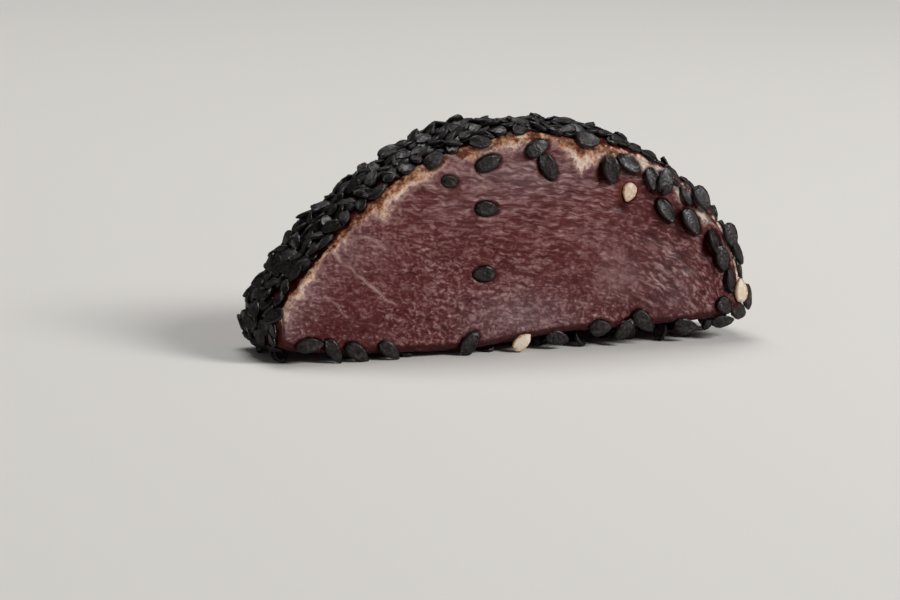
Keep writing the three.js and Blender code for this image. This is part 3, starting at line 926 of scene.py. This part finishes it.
def underside_seeds(size):
    """Seeds propped between the underside and the table, tipped up as far as the gap is high,
    and laid on the skin where the gap is higher than a seed is long."""
    k, _, angle, depth = crust_places(False, **UNDERSIDE_CRUST)
    point, normal, along = skin_frame(angle, False, depth / THICKNESS)
    reach = point[:, 2] + SEED_BITE
    share = (reach**2 - size[2] ** 2) / (size[0] ** 2 - size[2] ** 2)
    hangs = share > 1
    normal = np.where(hangs[:, None], normal, DOWNWARDS)
    along = np.where(hangs[:, None], along, RIGHTWARDS)
    middle = np.where(hangs[:, None], point + normal * SEED_REST, point)
    middle[~hangs, 2] = reach[~hangs] / 2 - SEED_FLAT
    seeds = Seeds(middle, along, normal, 2 * np.pi * fraction(k, SPREAD_TURN), size)
    propped = np.arcsin(np.sqrt(np.clip(share, 0, 1)))
    seeds.tip(np.where(hangs, SEED_TILT_MOST * swing(k, SPREAD_TILT), propped))
    return seeds


def face_strays(rows, thickness):
    """Seeds on the shown face and over its rim, from rows as in BLACK_STRAYS."""
    x, z, turn, over, back, sink, length, width = np.array(rows).T
    normal = np.array([0, -np.cos(FRONT_LEAN), np.sin(FRONT_LEAN)])
    middle = np.stack((x, face_y(z, 0) + back, z), -1)
    middle += normal * (STRAY_PROUD - thickness / 2 - sink)[:, None]
    size = np.stack((length, width, thickness + 0 * length), -1)
    seeds = Seeds(middle, RIGHTWARDS, normal, np.radians(turn), size)
    rim_x = (x - CROWN_X) / SPANS[1] ** 2
    rim_z = (z - TIP_Z) / (CROWN_Z - TIP_Z) ** 2
    outwards = unit(np.stack((rim_x, 0 * rim_x, rim_z), -1))
    seeds.lean(unit(np.cross(normal, outwards)), np.radians(over))
    return seeds


def back_strays(size):
    """Seeds spread over the far face."""
    k = np.arange(1, BACK_STRAYS + 1)
    angle = mix(*BACK_STRAY_ANGLES, fraction(k, SPREAD_U))
    share = mix(*BACK_STRAY_SHARES, fraction(k, SPREAD_V))[:, None]
    low = skin_point(angle, False, 1.0, EDGE_ROUND)
    high = skin_point(angle, True, 1.0, EDGE_ROUND)
    normal = np.array([0, np.cos(BACK_LEAN), -np.sin(BACK_LEAN)])
    middle = face_point(low, high, share, angle) + normal * (STRAY_PROUD - size[2] / 2)
    return Seeds(middle, RIGHTWARDS, normal, 2 * np.pi * fraction(k, SPREAD_TURN), size)


def clear_of(seeds, others):
    """Drops the seeds that lie too near to one of the others."""
    apart = np.linalg.norm(seeds.middle[:, None] - others.middle[None], axis=-1)
    seeds.keep(apart.min(1) >= CLEAR_LEAST)
    return seeds


def seed_surface(seeds):
    """Joined seeds: points, faces, and what the material reads.

    Along a seed, a runs from -1 at the round end to 1 at the sharp one, and the half width is
    (1 + a) and (1 - a), each to its own power. Each ring carries the seed's section, its
    thickness shrinking less towards the ends than its width."""
    half = np.concatenate((SEED_SECTION, np.array(SEED_SECTION)[-2::-1] * (-1, 1)))
    section = np.concatenate((half, half[-2:0:-1] * (1, -1)))
    sides = len(section)
    a = -np.cos(np.pi * np.arange(1, SEED_RINGS + 1) / (SEED_RINGS + 1))
    girth = (1 + a) ** ROUND_END_POWER * (1 - a) ** SHARP_END_POWER
    widest = (SHARP_END_POWER - ROUND_END_POWER) / (SHARP_END_POWER + ROUND_END_POWER)
    girth /= (1 - widest) ** ROUND_END_POWER * (1 + widest) ** SHARP_END_POWER
    ring = np.empty((SEED_RINGS, sides, 3))
    ring[..., 0] = a[:, None]
    ring[..., 1] = girth[:, None] * section[:, 0]
    ring[..., 2] = girth[:, None] ** THICKNESS_POWER * section[:, 1]
    shape = np.concatenate(([[-1.0, 0, 0]], ring.reshape(-1, 3), [[1.0, 0, 0]]))
    count, each = len(seeds.middle), len(shape)

    local = shape[None] * seeds.size[:, None] / 2
    local = local + SEED_LUMPS * np.random.default_rng(5).standard_normal(local.shape)
    y = np.cross(seeds.normal, seeds.x)
    points = seeds.middle[:, None] + local[..., :1] * seeds.x[:, None]
    points += local[..., 1:2] * y[:, None] + local[..., 2:] * seeds.normal[:, None]

    index = 1 + np.arange(SEED_RINGS * sides).reshape(SEED_RINGS, sides)
    after = np.roll(index, -1, 1)
    start = np.stack((np.zeros(sides, int), after[0], index[0]), -1)
    end = np.stack((np.full(sides, each - 1), index[-1], after[-1]), -1)
    shift = each * np.arange(count)[:, None, None]
    quads = (ring_quads(index)[None] + shift).reshape(-1, 4)
    triangles = (np.concatenate((start, end))[None] + shift).reshape(-1, 3)
    border = np.abs(np.tile(section[:, 0], SEED_RINGS))
    border = np.concatenate(([1], np.maximum(border, np.repeat(np.abs(a), sides) ** 3), [1]))
    tone = fraction(np.arange(count) + 1, SPREAD_TURN)
    marks = {"border": np.tile(border, count), "tone": np.repeat(tone, each)}
    return within_box(points), quads, triangles, marks


def within_box(points):
    """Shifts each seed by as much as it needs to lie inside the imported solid's box."""
    low, high = (np.array(corner) / MM + DRAWING_MIDDLE for corner in CAD_BOX)
    points = points + np.maximum(low - points.min(1), 0)[:, None]
    return points - np.maximum(points.max(1) - high, 0)[:, None]


def add_object(name, data):
    """Puts data in the scene as an object at the origin."""
    made = bpy.data.objects.new(name, data)
    bpy.context.scene.collection.objects.link(made)
    return made


def add_piece(name, points, quads, triangles, marks, material):
    mesh = bpy.data.meshes.new(name)
    places = (points.reshape(-1, 3) - DRAWING_MIDDLE) * MM
    mesh.from_pydata(places.tolist(), [], quads.tolist() + triangles.tolist())
    for mark, values in marks.items():
        kind, field = ("FLOAT_VECTOR", "vector") if values.ndim == 2 else ("FLOAT", "value")
        layer = mesh.attributes.new(mark, kind, "POINT")
        layer.data.foreach_set(field, values.astype(np.float32).ravel())
    mesh.polygons.foreach_set("use_smooth", np.ones(len(mesh.polygons), bool))
    mesh.materials.append(material)
    mesh.update()
    piece = add_object(name, mesh)
    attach(piece, BODY)
    return piece


# Sockets of the Mix node when it mixes colours, and settings that many nodes share.
FACTOR, FIRST, SECOND, MIXED = 0, 6, 7, 2
COLOURS = {"data_type": "RGBA"}
TIMES = {"operation": "MULTIPLY"}
TIMES_PLUS = {"operation": "MULTIPLY_ADD"}
SMOOTH = {"interpolation_type": "SMOOTHSTEP"}


def add_node(tree, kind, inputs=(), out=0, stops=(), **settings):
    """Adds a shader node and gives one of its outputs.

    inputs are its sockets in order, or by name, each a value, a colour in hex, or the output
    that feeds it. stops are a colour ramp's places and colours, and settings are the node's."""
    made = tree.nodes.new("ShaderNode" + kind)
    for name, value in settings.items():
        setattr(made, name, value)
    for name, value in inputs.items() if isinstance(inputs, dict) else enumerate(inputs):
        if isinstance(value, bpy.types.NodeSocket):
            tree.links.new(value, made.inputs[name])
        else:
            made.inputs[name].default_value = plain(value)
    for number, (place, colour) in enumerate(stops):
        if number >= len(made.color_ramp.elements):
            made.color_ramp.elements.new(1.0)
        made.color_ramp.elements[number].position = place
        made.color_ramp.elements[number].color = plain(colour)
    return made.outputs[out] if made.outputs else made


def new_material(name):
    """An empty node material, and the function above bound to its nodes."""
    material = bpy.data.materials.new(name)
    material.use_nodes = True
    material.node_tree.nodes.clear()
    return material, partial(add_node, material.node_tree)


def per_mm(size):
    """Scale of a noise texture whose features are that many millimetres."""
    return 1 / (size * MM)


# Fibres finer than the relief, short and drawn out, by length and width in millimetres, with
# the length of the furrows among them, and how far apart those are. Both are drawn a little
# coarser than in real flesh, so that they show.
FINE_FIBRES = [(0.5, 0.34, 1.4), (1.5, 0.4, 4.5)]
FINE_FURROWS = 0.74

# Noise without direction in the flesh, by its grain in millimetres, its detail and how rough
# it is: specks, clouds, the ragged rim, gaps in the rim, its crumbs, and damp patches.
FLESH_NOISE = [
    (0.4, 1.5, 0.5), (4.5, 2.0, 0.5), (1.2, 4.0, 0.65), (4.0, 1.0, 0.5), (0.5, 3.0, 0.6),
    (1.4, 2.0, 0.5),
]


def tuna_material(look):
    """Raw tuna with a seared edge, freshly cut and moist.

    Muscle fibres give pale crests and dark valleys, partly a painted sheen and painted shade,
    under a thin moist sheen, light travels a little way inside, and the sear turns the rim
    ochre, tan and cream, in patches, against a dark red glazed skin. Light strokes on the fine
    crests are a painted highlight, pale patches a painted sheen, and the dark line along the
    foot, the dark rings round seeds and the dark hollows are painted shade, partly with juice."""
    material, add = new_material("raw_tuna_cut_and_seared_edge")
    place = add("TexCoord", out="Object")
    grain = add("Attribute", out="Vector", attribute_name="grain")
    names = "edge rim brown under rough drawn fibre sinew wet pale stain deep".split()
    edge, rim, brown, under, rough, drawn, fibre, sinew, wet, pale, stain, deep = (
        add("Attribute", out="Fac", attribute_name=name) for name in names
    )
    noises = []
    for size, detail, roughness in FLESH_NOISE:
        inputs = {"Vector": place, "Scale": per_mm(size), "Detail": detail, "Roughness": roughness}
        noises.append(add("TexNoise", inputs))
    speck, cloud, ragged, gaps, crumb, damp = noises

    # The cut fibres: broad ones from the relief, fine ones and thin furrows drawn out along
    # the grain, and specks that follow no direction. Their tone is painted lighter on the
    # crests, partly a painted sheen, and darker in the valleys and furrows, partly painted shade.
    fine, thread = [], []
    for length, width, furrow in FINE_FIBRES:
        along = add("VectorMath", (grain, (1 / length, 1 / width, 1.0)), **TIMES)
        wavy = {"Vector": along, "Scale": 1.0, "Detail": 1.5, "Distortion": 0.2}
        fine.append(add("TexNoise", wavy))
        along = add("VectorMath", (grain, (1 / furrow, 1 / FINE_FURROWS, 1.0)), **TIMES)
        dips = add("TexNoise", {"Vector": along, "Scale": 1.0, "Detail": 1.5})
        stops = [(0.44, "#000000"), (0.5, "#ffffff"), (0.56, "#000000")]
        thread.append(add("ValToRGB", [dips], stops=stops))
    fine = add("MapRange", (drawn, 0.0, 1.0, *fine))
    thread = add("MapRange", (drawn, 0.0, 1.0, *thread))
    sheen_crest = add("Math", (fine, 2.0), operation="POWER")
    detail = add("Math", (sheen_crest, 1.35, -0.35), **TIMES_PLUS)
    detail = add("Math", (thread, -0.26, detail), **TIMES_PLUS)
    streak = fibre
    for part, share in ((speck, 0.32), (detail, rough), (pale, 0.1), (deep, -0.14)):
        streak = add("Math", (part, share, streak), **TIMES_PLUS)
    # High tone takes the crests' lighter colour, partly a painted sheen, and low tone the valleys'
    # darker colour, partly painted shade.
    stops = [(0.1, tuple(look.shaded_valley)), (0.5, tuple(look.meat)), (0.95, tuple(look.sheen_crest))]
    flesh = add("ValToRGB", [add("MapRange", (streak, -0.03, 1.09))], stops=stops)

    # The seared rim, by distance from its inner border, pushed in and out by noise of two
    # sizes. Its fat is pinkish white and cream, with ochre and brown where the sear was
    # stronger.
    torn = add("Math", (ragged, 4.5, rim), **TIMES_PLUS)
    torn = add("Math", (gaps, 3.5, torn), **TIMES_PLUS)
    fat = add("Math", (crumb, 0.7, ragged), **TIMES_PLUS)
    fat = add("Math", (brown, -0.24, fat), **TIMES_PLUS)
    rim_width = add("Math", (edge, rim), operation="SUBTRACT")
    rim_width = add("Math", (rim_width, 0.5), operation="MAXIMUM")
    outer = add("Math", (edge, rim_width), operation="DIVIDE")
    fat = add("Math", (fat, add("MapRange", (outer, 0.0, 0.8, -0.2, 0.04))))
    colours = ("#643424", "#a06a4d", "#cda486", "#e2c5b4", "#efdbd2")
    stops = zip((0.0, 0.25, 0.5, 0.75, 1.0), colours)
    fat = add("ValToRGB", [add("MapRange", (fat, 0.53, 1.0))], stops=stops)

    # The skin behind the rim, and the dark line along the foot: painted shade on the lower edge
    # of the cut faces and on the underside, by the table.
    stops = [(0.0, "#260504"), (0.5, "#4d100a"), (1.0, "#7d2a1b")]
    glaze = add("ValToRGB", [add("MapRange", (ragged, 0.38, 0.66))], stops=stops)
    behind = add("Math", (ragged, 1.6, edge), **TIMES_PLUS)
    behind = add("Math", (brown, 0.35, behind), **TIMES_PLUS)
    foot = add("MapRange", (under, 0.2, 0.65, 0.9, 0.0), **SMOOTH)

    # Coats over the flesh, from the lowest: how much each covers, and its colour.
    coats = [
        (add("Math", (deep, 0.45), **TIMES), "#4c1c1d"),
        (add("MapRange", (cloud, 0.45, 0.7, 0.0, 0.25), **SMOOTH), "#4c1c1d"),
        # Painted sheen: paler, greyer patches for the moist film's reflection.
        (add("Math", (pale, 0.27), **TIMES), "#8f7d81"),
        # Painted shade in the fine furrows.
        (add("Math", (thread, 0.22), **TIMES), "#471516"),
        # Painted highlight: light strokes on the tops of the fine fibres, for glints of the moist
        # surface.
        (add("MapRange", (fine, 0.6, 0.75, 0.0, 0.4), **SMOOTH), "#c9a5a1"),
        (add("Math", (sinew, 0.85), **TIMES), "#c4a29c"),
        (add("MapRange", (torn, 3.9, 5.0, 0.5, 0.0), **SMOOTH), "#bf9c97"),
        (add("MapRange", (torn, 3.65, 4.25, 1.0, 0.0), **SMOOTH), fat),
        (stain, "#5f2a17"),
        (add("MapRange", (behind, 0.3, 0.65, 1.0, 0.0), **SMOOTH), glaze),
        # Painted shade along the foot, and round the seeds and in the hollows, where it is partly
        # the juice's wetness too.
        (add("Math", (foot, wet), operation="MAXIMUM"), "#380908"),
    ]
    for cover, colour in coats:
        flesh = add("Mix", {FACTOR: cover, FIRST: flesh, SECOND: colour}, MIXED, **COLOURS)

    # Moist: satin in patches, with a finer sheen broken up by the specks.
    height = add("Math", (thread, -0.3, fine), **TIMES_PLUS)
    height = add("Math", (speck, 0.35, height), **TIMES_PLUS)
    inputs = {
        "Base Color": flesh,
        "Roughness": add("MapRange", (damp, 0.35, 0.65, 0.26, 0.42), **SMOOTH),
        "Normal": add("Bump", {"Height": height, "Strength": 1.0, "Distance": 0.055 * MM}),
        "IOR": 1.38,
        "Specular IOR Level": 0.24,
        "Subsurface Weight": 0.2,
        "Subsurface Radius": (1.1, 0.35, 0.28),
        "Subsurface Scale": 0.6 * MM,
    }
    add("OutputMaterial", [add("BsdfPrincipled", inputs)])
    return material


# Finish of the black hulls and of the white seeds, as sesame_material takes it. The border's
# colour is painted shade on the black seeds and partly so on the white, and the lighter
# colour of patches in the middle is a painted highlight.
BLACK_FINISH = {
    "name": "black_sesame_hull",
    "shade": "#0c0606",
    "ridge_shade": "#0b0706",
    "ridge_from": 0.5,
    "sheen_tint": "#3a302d",
    "gloss": (0.3, 0.6),
    "sheen": 0.36,
}
WHITE_FINISH = {
    "name": "hulled_white_sesame",
    "shade": "#dcb893",
    "ridge_shade": "#c98f57",
    "ridge_from": 0.48,
    "sheen_tint": "#f4ead9",
    "gloss": (0.3, 0.45),
    "sheen": 0.4,
}


def sesame_material(hull, name, shade, ridge_shade, ridge_from, sheen_tint, gloss, sheen):
    """Whole sesame seed, dry and waxy, finely wrinkled, with a raised border.

    Each seed has its own tone between hull and shade. From ridge_from of the way to the edge,
    the border's colour comes in patches, painted shade on the black seeds and a tan that is
    partly painted shade on the white ones, and the middle of the flat sides takes a lighter
    colour in patches, a painted highlight. gloss is the least and the most roughness, which
    comes and goes, and sheen the strength of the reflection."""
    material, add = new_material(name)
    place = add("TexCoord", out="Object")
    border, tone = (add("Attribute", out="Fac", attribute_name=n) for n in ("border", "tone"))
    inputs = {"Vector": place, "Scale": per_mm(0.4), "Detail": 2.0, "Roughness": 0.6}
    wrinkle = add("TexNoise", inputs)
    wax = add("TexNoise", {"Vector": place, "Scale": per_mm(0.9), "Detail": 1.0})
    # The border's colour comes in patches from ridge_from towards the edge, painted shade on the
    # black seeds and partly on the white; lighter patches in the middle of the flat sides are a
    # painted highlight.
    raised = add("MapRange", (border, ridge_from, ridge_from + 0.35, 0.0, 0.9), **SMOOTH)
    edge_shade = add("Math", (raised, add("MapRange", (wrinkle, 0.42, 0.6), **SMOOTH)), **TIMES)
    sheen_mottle = add("MapRange", (wrinkle, 0.46, 0.64, 0.0, 0.8), **SMOOTH)
    sheen_mottle = add("Math", (sheen_mottle, add("Math", (1.0, raised), operation="SUBTRACT")), **TIMES)
    colour = hull
    for cover, other in ((tone, shade), (edge_shade, ridge_shade), (sheen_mottle, sheen_tint)):
        colour = add("Mix", {FACTOR: cover, FIRST: colour, SECOND: other}, MIXED, **COLOURS)
    inputs = {
        "Base Color": colour,
        "Roughness": add("MapRange", (wax, 0.38, 0.62, *gloss)),
        "Normal": add("Bump", {"Height": wrinkle, "Strength": 1.0, "Distance": 0.08 * MM}),
        "IOR": 1.5,
        "Specular IOR Level": sheen,
    }
    add("OutputMaterial", [add("BsdfPrincipled", inputs)])
    return material


def board_material(colour):
    """Matt painted board, plain and pale, with the faintest unevenness of a rolled coat."""
    material, add = new_material("matt_painted_board")
    place = add("TexCoord", out="Object")
    coat = add("TexNoise", {"Vector": place, "Scale": per_mm(90), "Detail": 2.0})
    roughness = add("MapRange", (coat, 0.0, 1.0, 0.75, 0.9))
    inputs = {"Base Color": colour, "Roughness": roughness}
    add("OutputMaterial", [add("BsdfPrincipled", inputs)])
    return material


# The camera: where it stands in the shared frame in millimetres, how it looks, and its lens
# in pixels of the picture's width.
CAMERA_PLACE = (-153.33, -347.64, 78.43)
CAMERA_AZIMUTH = np.radians(23)
CAMERA_ELEVATION = np.radians(11)
CAMERA_ROLL = np.radians(1.6)
CAMERA_FOCUS = 3344
PICTURE_WIDTH = 900
SENSOR_WIDTH = 36

FLOOR_SIZE = 3000
SURROUND = "#f4f4f4"

# Place and size of each light in millimetres.
LIGHTS = {
    "key": ((600, -440, 520), 330),
    "fill": ((-700, -420, 260), 500),
    "back": ((40, 330, 760), 420),
}


def add_camera():
    """The camera, turned by its azimuth, elevation and roll."""
    data = bpy.data.cameras.new("camera")
    data.sensor_width = SENSOR_WIDTH
    data.lens = CAMERA_FOCUS / PICTURE_WIDTH * SENSOR_WIDTH
    data.clip_start = 1 * MM
    data.clip_end = 10
    camera = add_object("camera", data)
    cos_e, sin_e = np.cos(CAMERA_ELEVATION), np.sin(CAMERA_ELEVATION)
    cos_a, sin_a = np.cos(CAMERA_AZIMUTH), np.sin(CAMERA_AZIMUTH)
    forwards = Vector((sin_a * cos_e, cos_a * cos_e, -sin_e))
    level = Vector((cos_a, -sin_a, 0))
    upright = level.cross(forwards)
    right = level * np.cos(CAMERA_ROLL) + upright * np.sin(CAMERA_ROLL)
    up = right.cross(forwards)
    turn = Matrix((right, up, -forwards)).transposed().to_4x4()
    camera.matrix_world = Matrix.Translation(Vector(CAMERA_PLACE) * MM) @ turn
    bpy.context.scene.camera = camera


def add_light(name, place, size, power):
    """A square soft light at a place in millimetres, turned towards the slice."""
    data = bpy.data.lights.new(name, "AREA")
    data.shape = "SQUARE"
    data.size = size * MM
    data.energy = power
    light = add_object(name, data)
    light.location = Vector(place) * MM
    aim = Vector((0, 0, CROWN_Z / 2)) * MM - light.location
    light.rotation_euler = aim.to_track_quat("-Z", "Y").to_euler()


def add_floor(colour):
    """A flat square floor at the height of the table, from a grid of two by two points."""
    half = FLOOR_SIZE / 2 * MM
    corners = [(x, y, 0) for y in (-half, half) for x in (-half, half)]
    mesh = bpy.data.meshes.new("floor")
    mesh.from_pydata(corners, [], [(0, 1, 3, 2)])
    mesh.materials.append(board_material(colour))
    add_object("floor", mesh)


LENGTH = {"unit": "LENGTH", "min": 0.0}
POWER = {"unit": "POWER", "min": 0.0}


def setting(name, description, default, **limits):
    """A property: a colour, where its default is given in hex, and otherwise a number."""
    words = {"name": name, "description": description}
    if isinstance(default, str):
        return FloatVectorProperty(**words, default=linear(default), size=4, subtype="COLOR")
    return FloatProperty(**words, default=default, **limits)


class TunaLook(bpy.types.PropertyGroup):
    """Sizes and colours of the flesh."""

    fibre_size: setting("Fibre size", "The fibres' width, as a share of the usual", 1.0, min=0.1)
    fibre_depth: setting(
        "Fibre relief", "How far the fibres stand out of the cut face", 0.036 * MM, **LENGTH
    )
    # Darker between the fibres, partly painted shade.
    shaded_valley: setting("Between the fibres", "Colour of the flesh between the fibres", "#3a0b0c")
    meat: setting("Flesh", "Main colour of the cut flesh", "#693334")
    # Lighter on the crests, partly a painted sheen of the moist surface.
    sheen_crest: setting("On the fibres", "Colour of the fibres' crests", "#b38c8a")


class SesameLook(bpy.types.PropertyGroup):
    """Size and colours of the seeds."""

    length: setting("Length", "Length of a seed of the crust", 2.75 * MM, **LENGTH)
    width: setting("Width", "Width of a seed of the crust", 1.65 * MM, **LENGTH)
    thickness: setting("Thickness", "Thickness of a seed", 0.88 * MM, **LENGTH)
    black: setting("Black hull", "Colour of the black seeds", "#130a09")
    white: setting("White seed", "Colour of the white seeds", "#eee0cb")


class StageLook(bpy.types.PropertyGroup):
    """The floor and the light."""

    floor: setting("Floor", "Colour of the floor", "#e4e1dc")
    key: setting("Key light", "Power of the large soft light", 5.9, **POWER)
    fill: setting("Fill light", "Power of the light on the other side", 0.12, **POWER)
    back: setting("Back light", "Power of the light behind the slice", 3.2, **POWER)
    surround: setting("Surround", "Brightness of the plain surround", 0.09, min=0.0)


def crust_seed_size(look):
    """Length, width and thickness of a crust seed in millimetres."""
    return np.array((look.length, look.width, look.thickness)) / MM


class TUNA_OT_flesh(bpy.types.Operator):
    """Makes the flesh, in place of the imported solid"""

    bl_idname = "tuna.flesh"
    bl_label = "Flesh"

    def execute(self, context):
        look = context.scene.tuna_look
        surface = flesh_surface(look.fibre_size, look.fibre_depth / MM)
        flesh = add_piece("tuna_flesh", *surface, tuna_material(look))
        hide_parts(NODE)
        return {"FINISHED"}


class TUNA_OT_black_sesame(bpy.types.Operator):
    """Makes the crust of black sesame and the strays on the cut faces"""

    bl_idname = "tuna.black_sesame"
    bl_label = "Black sesame"

    def execute(self, context):
        look = context.scene.sesame_look
        size = crust_seed_size(look)
        white, black = (face_strays(rows, size[2]) for rows in (WHITE_STRAYS, BLACK_STRAYS))
        crust = Seeds.together(top_seeds(size), tip_seeds(size), underside_seeds(size))
        crust = clear_of(crust, Seeds.together(white, black))
        seeds = Seeds.together(black, crust, back_strays(size))
        material = sesame_material(tuple(look.black), **BLACK_FINISH)
        add_piece("black_sesame", *seed_surface(seeds), material)
        return {"FINISHED"}


class TUNA_OT_white_sesame(bpy.types.Operator):
    """Makes the few white sesame seeds"""

    bl_idname = "tuna.white_sesame"
    bl_label = "White sesame"

    def execute(self, context):
        look = context.scene.sesame_look
        seeds = face_strays(WHITE_STRAYS, look.thickness / MM)
        material = sesame_material(tuple(look.white), **WHITE_FINISH)
        add_piece("white_sesame", *seed_surface(seeds), material)
        return {"FINISHED"}


class TUNA_OT_stage(bpy.types.Operator):
    """Makes the floor, the lights and the camera"""

    bl_idname = "tuna.stage"
    bl_label = "Stage"

    def execute(self, context):
        look = context.scene.stage_look
        add_floor(tuple(look.floor))
        for name, (place, size) in LIGHTS.items():
            add_light(name + "_light", place, size, getattr(look, name))
        world = bpy.data.worlds.new("surround")
        world.use_nodes = True
        background = world.node_tree.nodes["Background"]
        background.inputs["Color"].default_value = linear(SURROUND)
        background.inputs["Strength"].default_value = look.surround
        context.scene.world = world
        context.scene.view_settings.view_transform = "Standard"
        add_camera()
        return {"FINISHED"}


class TUNA_PT_panel(bpy.types.Panel):
    """Lists the slice's pieces and their settings"""

    bl_idname = "TUNA_PT_panel"
    bl_label = "Seared tuna slice"
    bl_space_type = "VIEW_3D"
    bl_region_type = "UI"
    bl_category = "Tuna"

    def draw(self, context):
        for group in (context.scene.tuna_look, context.scene.sesame_look, context.scene.stage_look):
            box = self.layout.box()
            for name in group.__annotations__:
                box.prop(group, name)
        for operator in PIECES:
            self.layout.operator(operator.bl_idname)


PIECES = (TUNA_OT_flesh, TUNA_OT_black_sesame, TUNA_OT_white_sesame, TUNA_OT_stage)
CLASSES = (TunaLook, SesameLook, StageLook, *PIECES, TUNA_PT_panel)
LOOKS = {"tuna_look": TunaLook, "sesame_look": SesameLook, "stage_look": StageLook}


def register():
    for each in CLASSES:
        bpy.utils.register_class(each)
    for name, group in LOOKS.items():
        setattr(bpy.types.Scene, name, PointerProperty(type=group))


def unregister():
    for name in LOOKS:
        delattr(bpy.types.Scene, name)
    for each in reversed(CLASSES):
        bpy.utils.unregister_class(each)


def main():
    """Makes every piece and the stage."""
    register()
    bpy.ops.tuna.flesh()
    bpy.ops.tuna.black_sesame()
    bpy.ops.tuna.white_sesame()
    bpy.ops.tuna.stage()


if __name__ == "__main__":
    main()
